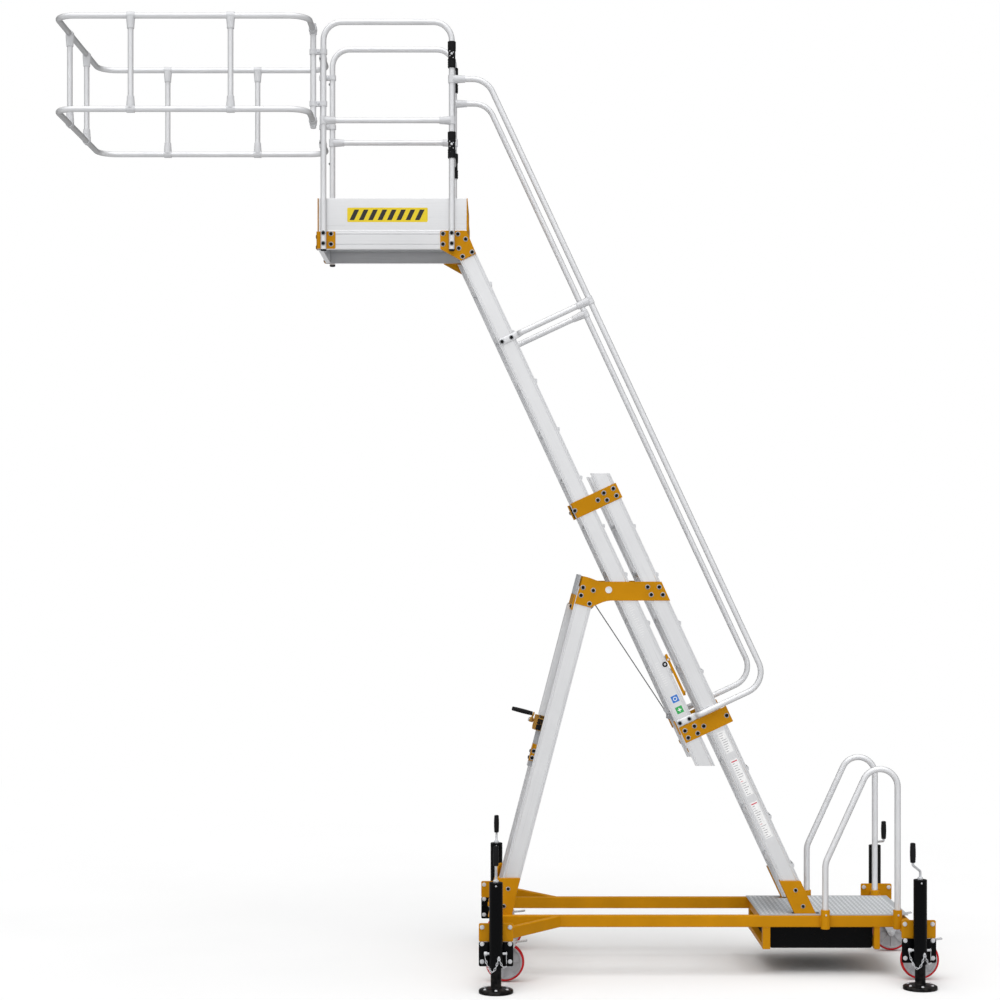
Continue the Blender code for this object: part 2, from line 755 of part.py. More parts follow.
def chassis():
    low, top = RAIL_LOW_Z, RAIL_TOP_Z
    solids = []
    holes = []
    front, rear = FRONT_JACK, REAR_JACK
    for side in SIDES.values():
        y = sorted((side * RAIL_INNER_Y, side * RAIL_OUTER_Y))
        solids.append(box((front.x - 0.018, y[0], low), (RAIL_REAR_X, y[1], top)))
        middle = (low + top) / 2
        start = Vector((0.345, side * 0.288, middle))
        end = Vector((0.050, side * (front.y - 0.045), middle))
        across = (end - start).normalized().cross(Z)
        solids.append(bar(start, end, across, Z, 0.034, top - low - 0.002))
        solids += [corner_plate(front, side), corner_plate(rear, side)]
        solids += [socket(ENTRY_FRONT_X, side), socket(ENTRY_REAR_X, side)]
        for x in (ENTRY_FRONT_X, ENTRY_REAR_X):
            centre = (x, side * ENTRY_Y)
            holes.append(cylinder((*centre, 0.20), (*centre, 0.40), SOCKET_BORE, 10))
        for at, y_castor in ((front, FRONT_CASTOR_Y), (rear, REAR_CASTOR_Y)):
            centre = Vector((at.x, side * y_castor, 0.0))
            half = Vector((0.048, 0.040, 0.0))
            solids.append(box(centre - half + Z * 0.2415, centre + half + Z * (low + 0.004)))
        solids += foot_brackets(side)
        for x, half in zip(CRADLE_X, CRADLE_HALF):
            y = sorted((side * RAIL_INNER_Y, side * (RAIL_OUTER_Y - 0.001)))
            solids.append(box((x - half, y[0], CRADLE_LOW_Z), (x + half, y[1], low + 0.01)))
    reach = front.y - 0.040
    solids.append(box((front.x - 0.020, -reach, low), (front.x + 0.020, reach, top - 0.0005)))
    reach = rear.y - 0.040
    x_from, x_to = REAR_MEMBER_X
    solids.append(box((x_from, -reach, low), (x_to, reach, REAR_MEMBER_TOP_Z)))
    for x, half in zip(CRADLE_X, CRADLE_HALF):
        solids.append(box((x - half, -0.28, low), (x + half, 0.28, top - 0.0005)))
        y = RAIL_OUTER_Y - 0.004
        half -= 0.001
        solids.append(box((x - half, -y, CRADLE_LOW_Z), (x + half, y, CRADLE_LOW_Z + 0.025)))
    return part("chassis_frame", "amber", solids, holes)


def foot_brackets(side):
    """Side plates and folded fronts that hold the feet of the prop and of the ladder."""
    near = side * (STILE_OUTER_Y + GAP)
    far = near + side * 0.011
    prop_outline = [
        (0.027, 0.503),
        (0.139, 0.503),
        (0.120, 0.428),
        (0.092, 0.300),
        (-0.023, 0.300),
    ]
    prop_fold = [(0.021, 0.503), (0.029, 0.503), (-0.021, 0.300), (-0.031, 0.300)]
    lip = side * 0.2
    front = SECTION_OFFSET - STILE_DEPTH / 2
    corners = [
        level_point(front - 0.0055, 0.488),
        level_point(front + STILE_DEPTH + 0.003, 0.488),
        level_point(front + STILE_DEPTH + 0.003, 0.300),
        level_point(front - 0.0055, 0.300),
    ]
    fold = [
        level_point(front - 0.0055, 0.488),
        level_point(front - 0.0005, 0.488),
        level_point(front - 0.0005, 0.300),
        level_point(front - 0.0055, 0.300),
    ]
    return [
        plate(prop_outline, near, far),
        plate(prop_fold, lip, far),
        plate(corners, near, far),
        plate(fold, side * 0.225, far),
    ]


def checker_deck():
    low = RAIL_TOP_Z + GAP
    solids = [box((DECK_X[0], -DECK_HALF, low), (DECK_X[1], DECK_HALF, DECK_TOP_Z))]
    holes = []
    for side in SIDES.values():
        y = sorted((side * 0.222, side * 0.274))
        holes.append(box((1.555, y[0], low - 0.01), (1.700, y[1], DECK_TOP_Z + 0.01)))
        for x in (ENTRY_FRONT_X, ENTRY_REAR_X):
            centre = (x, side * ENTRY_Y)
            holes.append(cylinder((*centre, 0.30), (*centre, 0.34), 0.0250, 10))
    return part("checker_deck", "plate", solids, holes)


def ballast():
    front, rear = BALLAST_X
    return part("counterweight", "black", [box((front, -0.262, 0.137), (rear, 0.262, 0.2525))])


def entry_handrail(name, side):
    """A hoop with a slanted front leg, standing in its two sockets."""
    y = side * ENTRY_Y
    centre = Vector((ENTRY_REAR_X - ENTRY_BEND, y, ENTRY_BEND_Z))
    steps = 6
    bend = []
    for i in range(steps + 1):
        angle = ENTRY_LEAN + (math.pi - ENTRY_LEAN) * i / steps
        bend.append(centre + Vector((-math.cos(angle), 0.0, math.sin(angle))) * ENTRY_BEND)
    foot = Vector((ENTRY_FRONT_X, y, ENTRY_FOOT_Z))
    knee = Vector((ENTRY_FRONT_X, y, ENTRY_KNEE_Z))
    line = [foot, knee] + bend + [Vector((ENTRY_REAR_X, y, ENTRY_FOOT_Z))]
    return part(name, "tube", [pipe(line, ENTRY, 0.0001, steps=1)])


# ---- jacks and castors ---------------------------------------------------------------------


def jack(where, at, label, lean, way):
    """A screw jack: body with its plate, ram with a round foot, screw with a crank, lock pin."""
    side = SIDES[label]
    centre = Vector((at.x, side * at.y, 0.0))
    low = JACK_LOW_Z
    inner_top = centre + Z * (JACK_TOP_Z - 0.010)
    pin_at = centre + Z * PIN_Z
    plate_y = sorted((side * (at.y - 0.0365), side * (at.y - 0.026)))
    body = part(
        f"jack_body_{where}",
        "black",
        [
            cylinder(centre + Z * low, centre + Z * JACK_TOP_Z, JACK_TUBE, 16),
            box((at.x - PLATE_HALF, plate_y[0], low), (at.x + PLATE_HALF, plate_y[1], JACK_PLATE_TOP)),
        ],
        [
            cylinder(centre + Z * (low - 0.01), inner_top, JACK_RAM + 0.0008, 16),
            cylinder(inner_top - Z * 0.01, inner_top + Z * 0.02, JACK_SCREW + 0.001, 12),
            cylinder(pin_at - X * 0.05, pin_at + X * 0.05, PIN + 0.0005, 10),
        ],
    )
    slot = PIN + 0.0005
    ram = part(
        f"jack_foot_{where}",
        "black",
        [
            cylinder(centre + Z * 0.010, centre + Z * 0.440, JACK_RAM, 16),
            cylinder(centre, centre + Z * FOOT_HEIGHT, FOOT, 24),
        ],
        [
            cylinder(centre + Z * 0.110, centre + Z * 0.460, JACK_SCREW + 0.0015, 12),
            box(
                centre + Vector((-0.05, -slot, PIN_Z - RAM_UP - slot - 0.002)),
                centre + Vector((0.05, slot, PIN_Z + RAM_DOWN + slot + 0.002)),
            ),
        ],
        origin=centre,
    )
    offset = Vector((lean, way * math.sqrt(CRANK**2 - lean**2), 0.0))
    grip = centre + offset + Z * GRIP_Z[label]
    knee = centre + Z * (0.540 + (GRIP_Z[label] - 0.540) * 0.5)
    screw = part(
        f"jack_crank_{where}",
        "steel",
        [
            cylinder(centre + Z * 0.310, knee + Z * 0.002, JACK_SCREW, 10),
            cylinder(centre + Z * 0.5530, centre + Z * 0.563, 0.014, 10),
            cylinder(knee - offset.normalized() * 0.008, grip - Z * 0.007, 0.0065, 8),
            cylinder(grip - Z * 0.017, grip + Z * 0.005, 0.0075, 10),
            cylinder(grip, grip + Z * GRIP, 0.014, 12),
        ],
        origin=centre,
    )
    pin = part(
        f"lock_pin_{where}",
        "steel",
        [
            cylinder(pin_at - X * PIN_HALF, pin_at + X * PIN_HALF, PIN, 10),
            cylinder(pin_at - X * 0.044, pin_at - X * 0.060, PIN_HEAD, 12),
        ],
        origin=pin_at,
    )
    return body, ram, screw, pin


def castor(where, at, y_castor, side):
    """A swivel castor with a total-lock pedal: fork, wheel and brake."""
    swivel = Vector((at.x, side * y_castor, 0.0))
    axle = swivel + Vector((TRAIL, 0.0, WHEEL_Z))
    x, y = swivel.x, swivel.y
    outline = [
        (x - 0.028, 0.232),
        (x - 0.028, 0.200),
        (axle.x - 0.016, axle.z - 0.014),
        (axle.x + 0.016, axle.z - 0.014),
        (x + 0.100, 0.190),
        (x + 0.100, 0.212),
        (x + 0.034, 0.232),
    ]
    solids = [plate(outline, y + edge * 0.0235, y + edge * 0.029) for edge in (-1, 1)]
    solids.append(box((x - 0.028, y - 0.026, 0.2095), (x + 0.034, y + 0.026, 0.232)))
    solids.append(cylinder(swivel + Z * 0.225, swivel + Z * 0.2412, 0.030, 12))
    bore = cylinder(axle - Y * 0.05, axle + Y * 0.05, 0.0067, 8)
    pedal_at = Vector((x + 0.090, y, 0.2035))
    pedal_bore = cylinder(pedal_at - Y * 0.05, pedal_at + Y * 0.05, 0.0047, 8)
    fork = part(f"castor_fork_{where}", "steel", solids, [bore, pedal_bore], origin=swivel)
    tread = [
        (0.0, -WHEEL_HALF),
        (0.094, -WHEEL_HALF),
        (WHEEL, -0.012),
        (WHEEL, 0.012),
        (0.094, WHEEL_HALF),
        (0.0, WHEEL_HALF),
    ]
    wheel_shapes = [
        turned(tread, axle, Y, 20),
        cylinder(axle - Y * 0.034, axle + Y * 0.034, 0.0060, 8),
    ]
    wheel = part(f"castor_wheel_{where}", "wheel", wheel_shapes, origin=axle)
    near, tip = pedal_at - X * 0.002, pedal_at + X * 0.070
    pedal = [
        (near.x, near.z - 0.003),
        (tip.x, tip.z + 0.004),
        (tip.x, tip.z + 0.010),
        (near.x, near.z + 0.003),
    ]
    brake = part(
        f"castor_brake_{where}",
        "steel",
        [
            plate(pedal, y - PEDAL_HALF, y + PEDAL_HALF),
            cylinder(pedal_at - Y * 0.0325, pedal_at + Y * 0.0325, 0.0040, 8),
        ],
        origin=pedal_at,
    )
    return fork, wheel, brake


# ---- assembly ------------------------------------------------------------------------------

clear_scene()
LOOKS = make_materials()

chassis()
checker_deck()
ballast()
prop_frame()
winch()
rope_parts()
ladder_section("lower_ladder", SECTION_OFFSET, LOWER_FOOT_Z, LOWER_TOP_Z, 0.030)
sliding = [ladder_section("upper_ladder", 0.0, UPPER_FOOT_Z, UPPER_TOP_Z, 0.030)]
sliding += [platform_frame(), platform_deck(), toe_boards(), cage(), rung_catch()]
for label, sign in SIDES.items():
    a_arm(f"a_arm_{label}", sign)
    upper_guide(f"upper_guide_{label}", sign)
    entry_handrail(f"entry_handrail_{label}", sign)
    sliding += [
        lower_guide(f"lower_guide_{label}", sign),
        rear_bracket(f"rear_bracket_{label}", sign),
        guardrail(f"guardrail_{label}", sign),
        handrail(f"handrail_{label}", sign),
        gate(f"gate_{label}", sign),
    ]
    jack(f"front_{label}", FRONT_JACK, label, 0.0, sign)
    jack(f"rear_{label}", REAR_JACK, label, REAR_CRANK_LEAN[label], -1)
    castor(f"front_{label}", FRONT_JACK, FRONT_CASTOR_Y, sign)
    castor(f"rear_{label}", REAR_JACK, REAR_CASTOR_Y, sign)
slide = pivot("section_slide", LADDER_POINT)
attach(slide, sliding)
for item in bpy.context.scene.collection.objects:
    if item.parent is None:
        item.location.x -= MIDDLE_X
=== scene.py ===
"""Looks of the mobile cantilever access platform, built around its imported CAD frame.

Metres, +Z up. Shapes are worked out from a datum over the front jacks; dress() moves each finished
mesh from there into the frame's own coordinates. Left is -Y and right is +Y.
"""

import json
import math
import random
from functools import partial

import bmesh
import bpy
from mathutils import Matrix, Vector


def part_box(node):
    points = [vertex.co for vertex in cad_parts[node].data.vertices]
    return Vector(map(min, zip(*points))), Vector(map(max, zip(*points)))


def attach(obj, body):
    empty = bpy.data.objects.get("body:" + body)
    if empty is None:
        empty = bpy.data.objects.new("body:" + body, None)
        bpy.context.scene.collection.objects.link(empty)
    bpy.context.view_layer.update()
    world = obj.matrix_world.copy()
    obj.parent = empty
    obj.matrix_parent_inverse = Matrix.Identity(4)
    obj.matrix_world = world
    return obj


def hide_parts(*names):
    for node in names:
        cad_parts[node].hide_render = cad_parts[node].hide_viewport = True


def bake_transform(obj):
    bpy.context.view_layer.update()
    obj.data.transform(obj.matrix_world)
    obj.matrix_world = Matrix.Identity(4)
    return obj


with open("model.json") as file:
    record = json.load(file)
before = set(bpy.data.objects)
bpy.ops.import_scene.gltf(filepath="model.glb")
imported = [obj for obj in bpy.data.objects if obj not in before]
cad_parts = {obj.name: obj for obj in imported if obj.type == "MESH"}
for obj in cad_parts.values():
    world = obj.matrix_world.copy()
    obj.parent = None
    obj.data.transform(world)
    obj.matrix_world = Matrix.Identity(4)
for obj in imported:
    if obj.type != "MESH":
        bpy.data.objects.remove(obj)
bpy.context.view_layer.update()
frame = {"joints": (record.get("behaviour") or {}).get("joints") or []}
JOINTS = {joint["name"]: joint for joint in frame["joints"]}

SIDES = {"left": -1, "right": 1}
X, Y, Z = (Vector(row) for row in Matrix.Identity(3))

# The datum's place in the frame, from the middle of a front jack
FRONT_JACK_X = 0.012
JACK_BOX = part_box("jack_foot_front_left")
DATUM = Vector(((JACK_BOX[0].x + JACK_BOX[1].x) / 2 - FRONT_JACK_X, 0.0, 0.0))

# Ladder and prop
UP = Vector(JOINTS["section_slide"]["axis"])
BACK = Vector((UP.z, 0.0, -UP.x))
LADDER_POINT = Vector((0.521, 0.0, 2.338))
SECTION_OFFSET = 0.147
STILE_HALF = 0.046
STILE_OUTER = 0.260
STILE_INNER = 0.230
STILE_WEB = 0.245
RUNG_PITCH = 0.280
PLATE = 0.006  # thickness of the bolted amber plates
PLATE_Y = STILE_OUTER + 0.0006
PROP_POINT = Vector((0.093, 0.0, 0.504))
PROP_UP = Vector((0.261, 0.0, 1.0)).normalized()
PROP_BACK = Vector((PROP_UP.z, 0.0, -PROP_UP.x))

# Guards
TUBE = 0.015
RAIL_Y = 0.290
POSTS_X = (-0.887, -0.219)
POST_FRONT_X, POST_REAR_X = POSTS_X
POST_FOOT_Z = 3.775
POST_BOLTS_Z = (3.863, 3.809)
GUARD_TOP_Z = 4.962
GUARD_MID_Z = 4.450
HANDRAIL_TOP_Z = 4.665
HANDRAIL_OFFSET = 0.477
CAGE_FRONT_X = -2.2215
CAGE_REAR_X = -0.940
CAGE_Y = 0.585
CAGE_TOP_Z, CAGE_LOW_Z = 4.918, 4.445
CAGE_POSTS_X = (-1.838, -1.332)
CAGE_POSTS_Y = 0.220
CLAMPS_Z = (4.806, 4.536)
GATE_BARS_Z = (4.790, 4.320)

# Platform
PLATFORM_FRONT_X = -0.920
PLATFORM_REAR_X = -0.140
PLATFORM_HALF = 0.270
PLATFORM_LOW_Z = 3.784
PLATFORM_TOP_Z = 3.873
TOE_LOW_Z = PLATFORM_TOP_Z + 0.0004
TOE_TOP_Z = 4.049
TOE_HALF = PLATFORM_HALF - 0.002

# Base
RAIL_LOW_Z = 0.254
RAIL_TOP_Z = 0.314
RAIL_OUTER_Y = 0.310
RAIL_INNER_Y = 0.270
JACKS = {"front": Vector((FRONT_JACK_X, 0.720, 0.0)), "rear": Vector((2.150, 0.630, 0.0))}
CASTORS_Y = {"front": 0.450, "rear": 0.392}
PLATE_HALF = 0.0865
JACK_TUBE = 0.034
CRANK = 0.095
GRIP = 0.100
GRIP_Z = {"left": 0.647, "right": 0.597}
REAR_CRANK_LEAN = {"left": -0.053, "right": 0.034}
PIN_Z = 0.195
WHEEL_Z = 0.103
TRAIL = 0.045
ENTRY_Y = 0.325
ENTRY_X = {"front": 1.720, "rear": 2.095}
ENTRY_FOOT_Z = 0.2535
RAIL_REAR_X = 2.120
REAR_MEMBER_X = (2.115, 2.154)
REAR_MEMBER_TOP_Z = 0.300
DECK_X = (1.382, 2.155)
DECK_HALF = 0.305
SHEET_LOW_Z = RAIL_TOP_Z + 0.0004
SHEET_TOP_Z = 0.3191
CRADLES = ((1.417, 0.020), (1.992, 0.015))

# Studio
FLOOR = (0.92, 0.92, 0.92)
FLOOR_BOUNCE = 0.60  # the floor's share of its brightness in reflections and bounced light
FRONT_LIGHT = 0.90
BACK_LIGHT = 0.12
TOP_LIGHT = 0.55
SUN = 1.5


# ---- materials -----------------------------------------------------------------------------


class Nodes:
    """A short way to write a node tree."""

    def __init__(self, name, owner=None):
        self.material = owner or bpy.data.materials.new(name)
        self.material.use_nodes = True
        self.tree = self.material.node_tree
        if not owner:
            self.shader = self.tree.nodes["Principled BSDF"]
            self.place = self.add("TexCoord").outputs["Object"]

    def add(self, kind, values=None, **settings):
        node = self.tree.nodes.new("ShaderNode" + kind)
        for key, value in settings.items():
            setattr(node, key, value)
        for key, value in (values or {}).items():
            self.put(node.inputs[key], value)
        return node

    def put(self, socket, value):
        if isinstance(value, bpy.types.NodeSocket):
            self.tree.links.new(value, socket)
        else:
            socket.default_value = value

    def turned(self, direction, stretch):
        """Coordinates whose third axis runs along a direction, with that axis stretched."""
        turn = Vector(direction).rotation_difference(Z).to_euler()
        turned = self.add("Mapping", {"Vector": self.place, "Rotation": turn}).outputs[0]
        return self.add("Mapping", {"Vector": turned, "Scale": (1.0, 1.0, 1.0 / stretch)}).outputs[0]

    def noise(self, scale, detail=3.0, place=None, roughness=0.5):
        values = {"Vector": place or self.place, "Scale": scale, "Detail": detail, "Roughness": roughness}
        return self.add("TexNoise", values).outputs["Fac"]

    def ramp(self, value, low, high, out_low=0.0, out_high=1.0):
        values = {"Value": value, "From Min": low, "From Max": high, "To Min": out_low, "To Max": out_high}
        return self.add("MapRange", values).outputs[0]

    def cloud(self, scale, detail, low=0.3, high=0.7):
        return self.ramp(self.noise(scale, detail), low, high)

    def math(self, operation, a, b=0.0):
        return self.add("Math", {0: a, 1: b}, operation=operation).outputs[0]

    def mix(self, factor, a, b):
        return self.add("Mix", {0: factor, 6: a, 7: b}, data_type="RGBA").outputs[2]

    def edges(self, radius):
        """1 along convex edges and 0 on open faces."""
        soft = self.add("Bevel", {"Radius": radius}, samples=4).outputs[0]
        hard = self.add("NewGeometry").outputs["Normal"]
        dot = self.add("VectorMath", {0: soft, 1: hard}, operation="DOT_PRODUCT").outputs["Value"]
        return self.ramp(dot, 0.995, 0.90)

    def bump(self, height, distance, strength):
        return self.add("Bump", {"Height": height, "Distance": distance, "Strength": strength}).outputs[0]

    def dusty(self, colour, amount=0.10, top=0.16, dust=(0.22, 0.20, 0.18, 1.0)):
        """The colour, with a little road dust low down."""
        height = self.add("SeparateXYZ", {0: self.place}).outputs["Z"]
        low = self.ramp(height, top, 0.0, 0.0, amount)
        return self.mix(self.math("MULTIPLY", low, self.cloud(35.0, 6.0, 0.42, 0.62)), colour, dust)

    def finish(self, **inputs):
        for key, value in inputs.items():
            self.put(self.shader.inputs[key.replace("_", " ")], value)
        return self.material


def tone(colour, factor):
    return (*[channel * factor for channel in colour], 1.0)


def paint(name, colour, roughness, chip, peel=0.00012):
    """Powder coat: orange peel, faint mottling, and chips that show along a few edges."""
    nodes = Nodes(name)
    mottled = nodes.mix(nodes.cloud(7.0, 4.0, 0.35, 0.65), tone(colour, 0.94), tone(colour, 1.05))
    scuff = nodes.ramp(nodes.noise(140.0, 5.0, roughness=0.7), 0.60, 0.70)
    chipped = nodes.mix(nodes.math("MULTIPLY", nodes.edges(0.0025), scuff), mottled, tone(chip, 1.0))
    rough = nodes.ramp(nodes.noise(26.0, 5.0), 0.3, 0.7, roughness - 0.05, roughness + 0.07)
    normal = nodes.bump(nodes.noise(900.0, 1.0), peel, 0.5)
    shade = nodes.dusty(chipped)
    return nodes.finish(Base_Color=shade, Roughness=rough, Normal=normal, Specular_IOR_Level=0.08)


def extruded(name, direction, colour=(0.90, 0.905, 0.92), roughness=0.34):
    """Mill-finished aluminium with fine die lines along its length and a few handling marks."""
    nodes = Nodes(name)
    lines = nodes.noise(420.0, 2.0, nodes.turned(direction, 160.0))
    shade = nodes.mix(nodes.cloud(5.0, 4.0), tone(colour, 0.95), tone(colour, 1.0))
    shade = nodes.mix(nodes.ramp(lines, 0.35, 0.65, 0.0, 0.35), shade, tone(colour, 0.90))
    marks = nodes.ramp(nodes.noise(70.0, 3.0, nodes.turned(direction, 24.0)), 0.62, 0.74, 0.0, 0.22)
    shade = nodes.mix(marks, shade, tone(colour, 0.62))
    rough = nodes.ramp(lines, 0.3, 0.7, roughness - 0.02, roughness + 0.03)
    normal = nodes.bump(lines, 0.00003, 0.25)
    return nodes.finish(Base_Color=shade, Metallic=0.86, Roughness=rough, Normal=normal)


def satin(name, colour, roughness, metallic=0.88, grain=260.0, rim=0.0):
    """Brushed or tumbled metal without a direction, with slight smudges and painted shade at glancing angles.
    """
    nodes = Nodes(name)
    shade = nodes.mix(nodes.cloud(9.0, 5.0), tone(colour, 0.95), tone(colour, 1.0))
    fine = nodes.noise(grain, 2.0)
    smudge = nodes.ramp(nodes.noise(14.0, 2.0), 0.45, 0.75, -0.02, 0.05)
    rough = nodes.math("ADD", nodes.math("MULTIPLY_ADD", fine, 0.02), smudge)
    rough = nodes.math("ADD", rough, roughness - 0.01)
    # painted shade: the colour goes up to rim of the way to a dark tone towards glancing angles, standing in
    # for the shade along a tube's edges
    painted_rim_shade = nodes.add("LayerWeight", {"Blend": 0.5}).outputs["Facing"]
    shade = nodes.mix(nodes.ramp(painted_rim_shade, 0.30, 0.95, 0.0, rim), shade, tone(colour, 0.35))
    normal = nodes.bump(fine, 0.00001, 0.2)
    return nodes.finish(Base_Color=nodes.dusty(shade), Metallic=metallic, Roughness=rough, Normal=normal)


def moulded(name, colour, roughness, grain=1100.0):
    """Moulded plastic or rubber with a fine leathery grain."""
    nodes = Nodes(name)
    cells = nodes.add("TexVoronoi", {"Vector": nodes.place, "Scale": grain}).outputs["Distance"]
    shade = nodes.mix(nodes.cloud(30.0, 4.0), tone(colour, 0.88), tone(colour, 1.10))
    rough = nodes.ramp(cells, 0.0, 0.8, roughness - 0.08, roughness + 0.10)
    normal = nodes.bump(cells, 0.0001, 0.4)
    shade = nodes.dusty(shade)
    return nodes.finish(Base_Color=shade, Roughness=rough, Normal=normal, Specular_IOR_Level=0.18)


def rope_steel():
    """Strands that wind round a rope, as diagonal waves."""
    nodes = Nodes("rope_steel")
    wave = {"Vector": nodes.place, "Scale": 160.0, "Distortion": 1.5, "Detail Scale": 3.0}
    strands = nodes.add("TexWave", wave, bands_direction="DIAGONAL").outputs["Fac"]
    shade = nodes.mix(strands, (0.10, 0.10, 0.105, 1.0), (0.52, 0.53, 0.55, 1.0))
    normal = nodes.bump(strands, 0.0006, 0.8)
    return nodes.finish(Base_Color=shade, Metallic=0.8, Roughness=0.42, Normal=normal)


def film(name, colour):
    """Printed vinyl, slightly uneven."""
    nodes = Nodes(name)
    shade = nodes.mix(nodes.cloud(60.0, 3.0), tone(colour, 0.96), tone(colour, 1.0))
    normal = nodes.bump(nodes.noise(300.0, 2.0), 0.00005, 0.4)
    return nodes.finish(Base_Color=shade, Roughness=0.30, Normal=normal)


# look: (material, the record's slot)
LOOKS = {
    "amber": (paint("amber_powder_coat", (0.58, 0.25, 0.003), 0.42, (0.45, 0.43, 0.40)), "amber_paint"),
    "black": (
        paint("black_powder_coat", (0.0018, 0.0019, 0.0024), 0.30, (0.05, 0.05, 0.05), 0.00004),
        "black_paint",
    ),
    "ladder": (extruded("aluminium_along_ladder", UP), "extruded_aluminium"),
    "prop": (extruded("aluminium_along_prop", PROP_UP), "extruded_aluminium"),
    "lengthwise": (extruded("aluminium_lengthwise", X, (0.82, 0.825, 0.84)), "extruded_aluminium"),
    "crosswise": (extruded("aluminium_crosswise", Y, (0.80, 0.81, 0.83)), "extruded_aluminium"),
    # rim sets the painted shade that darkens tubes and cast fittings towards their edges
    "tube": (satin("anodised_tube", (0.88, 0.885, 0.90), 0.22, 0.97, rim=0.75), "tube_aluminium"),
    "casting": (satin("cast_fitting", (0.84, 0.845, 0.86), 0.40, 0.80, 180.0, 0.45), "tube_aluminium"),
    "checker": (satin("checker_plate_aluminium", (0.60, 0.62, 0.64), 0.24, 0.95), "checker_plate"),
    "tread": (satin("worn_tread_crests", (0.88, 0.89, 0.91), 0.20, 0.95), "checker_plate"),
    "zinc": (satin("zinc_plate", (0.78, 0.79, 0.81), 0.28), "zinc_steel"),
    "galvanised": (satin("galvanised_steel", (0.58, 0.59, 0.61), 0.36), "zinc_steel"),
    "yellow_zinc": (satin("yellow_zinc", (0.62, 0.36, 0.08), 0.38, 0.7), "zinc_steel"),
    "bolt": (satin("blackened_steel", (0.006, 0.006, 0.007), 0.42, 0.3), "black_paint"),
    "plastic": (moulded("black_plastic", (0.005, 0.005, 0.006), 0.50), "black_plastic"),
    "tyre": (moulded("red_tyre", (0.60, 0.010, 0.016), 0.34, 500.0), "red_tyre"),
    "white_plastic": (moulded("white_plastic", (0.80, 0.81, 0.83), 0.35), "wheel_centre"),
    "wheel": (moulded("grey_wheel_centre", (0.46, 0.46, 0.48), 0.45, 600.0), "wheel_centre"),
    "rope": (rope_steel(), "rope_steel"),
}
FILMS = {
    "white": (1.0, 1.0, 1.0), "yellow": (0.88, 0.66, 0.01), "black": (0.012, 0.012, 0.012),
    "blue": (0.03, 0.20, 0.66), "green": (0.03, 0.44, 0.10), "red": (0.70, 0.08, 0.12),
    "grey": (0.34, 0.34, 0.36),
}
LOOKS |= {f"{name}_film": (film(f"{name}_film", colour), "label_film") for name, colour in FILMS.items()}


# ---- shapes, each added to a bmesh, which it returns ---------------------------------------

new = bmesh.new


def prism(bm, points, along):
    """A flat outline, extruded along a vector."""
    start = [bm.verts.new(point) for point in points]
    end = [bm.verts.new(Vector(point) + Vector(along)) for point in points]
    for i in range(len(points)):
        j = (i + 1) % len(points)
        bm.faces.new((start[i], start[j], end[j], end[i]))
    bm.faces.new(start[::-1])
    bm.faces.new(end)
    return bm


def block(bm, corner, opposite):
    (x0, x1), (y0, y1), (z0, z1) = (sorted(pair) for pair in zip(corner, opposite))
    return prism(bm, [(x0, y0, z0), (x1, y0, z0), (x1, y1, z0), (x0, y1, z0)], (0.0, 0.0, z1 - z0))


def ends(centre, half):
    """The two ends of a length that lies evenly about a centre."""
    return Vector(centre) - half, Vector(centre) + half


def beam(bm, start, end, across, up, width, height):
    """A straight bar of rectangular section."""
    start, end = Vector(start), Vector(end)
    signs = [(-1, -1), (1, -1), (1, 1), (-1, 1)]
    corners = [start + across * (a * width / 2) + up * (b * height / 2) for a, b in signs]
    return prism(bm, corners, end - start)


def arc(points, radius, steps, corner, before, after):
    """Adds the arc that rounds a corner to a list of points."""
    a, b = (before - corner).normalized(), (after - corner).normalized()
    half = a.angle(b) / 2
    reach = min(radius / math.tan(half), (before - corner).length * 0.45, (after - corner).length * 0.45)
    size = reach * math.tan(half)
    centre = corner + (a + b).normalized() * (size / math.sin(half))
    first, last = corner + a * reach - centre, corner + b * reach - centre
    points += [centre + first.slerp(last, k / steps, first).normalized() * size for k in range(steps + 1)]


def round_corners(outline, radius, steps=4):
    """An outline of flat points with each corner turned into an arc."""
    made = []
    spots = [Vector(spot) for spot in outline]
    for i, corner in enumerate(spots):
        arc(made, radius, steps, corner, spots[i - 1], spots[(i + 1) % len(spots)])
    return made


def plate(bm, outline, y_from, y_to, radius=0.004):
    """An (x, z) outline with rounded corners, from one y to another."""
    points = round_corners(outline, radius) if radius else [Vector(point) for point in outline]
    y_from, y_to = sorted((y_from, y_to))
    return prism(bm, [(p.x, y_from, p.y) for p in points], (0.0, y_to - y_from, 0.0))


def oblong(x0, z0, x1, z1):
    return [(x0, z0), (x1, z0), (x1, z1), (x0, z1)]


def rounded(points, bend, steps=8):
    """The points of a path with each inner corner turned into an arc."""
    points = [Vector(point) for point in points]
    path = [points[0]]
    for before, corner, after in zip(points, points[1:], points[2:]):
        a, b = (before - corner).normalized(), (after - corner).normalized()
        half = a.angle(b) / 2
        reach = bend / math.tan(half)
        centre = corner + (a + b).normalized() * (bend / math.sin(half))
        first = corner + a * reach - centre
        axis = first.cross(corner + b * reach - centre).normalized()
        turn = math.pi - 2 * half
        path += [centre + Matrix.Rotation(turn * i / steps, 3, axis) @ first for i in range(steps + 1)]
    return path + [points[-1]]


def ring_of(count, u, v, radius=1.0, start=0.0):
    """Offsets round a circle in the plane of two directions."""
    angles = [start + 2 * math.pi * i / count for i in range(count)]
    return [u * (radius * math.cos(angle)) + v * (radius * math.sin(angle)) for angle in angles]


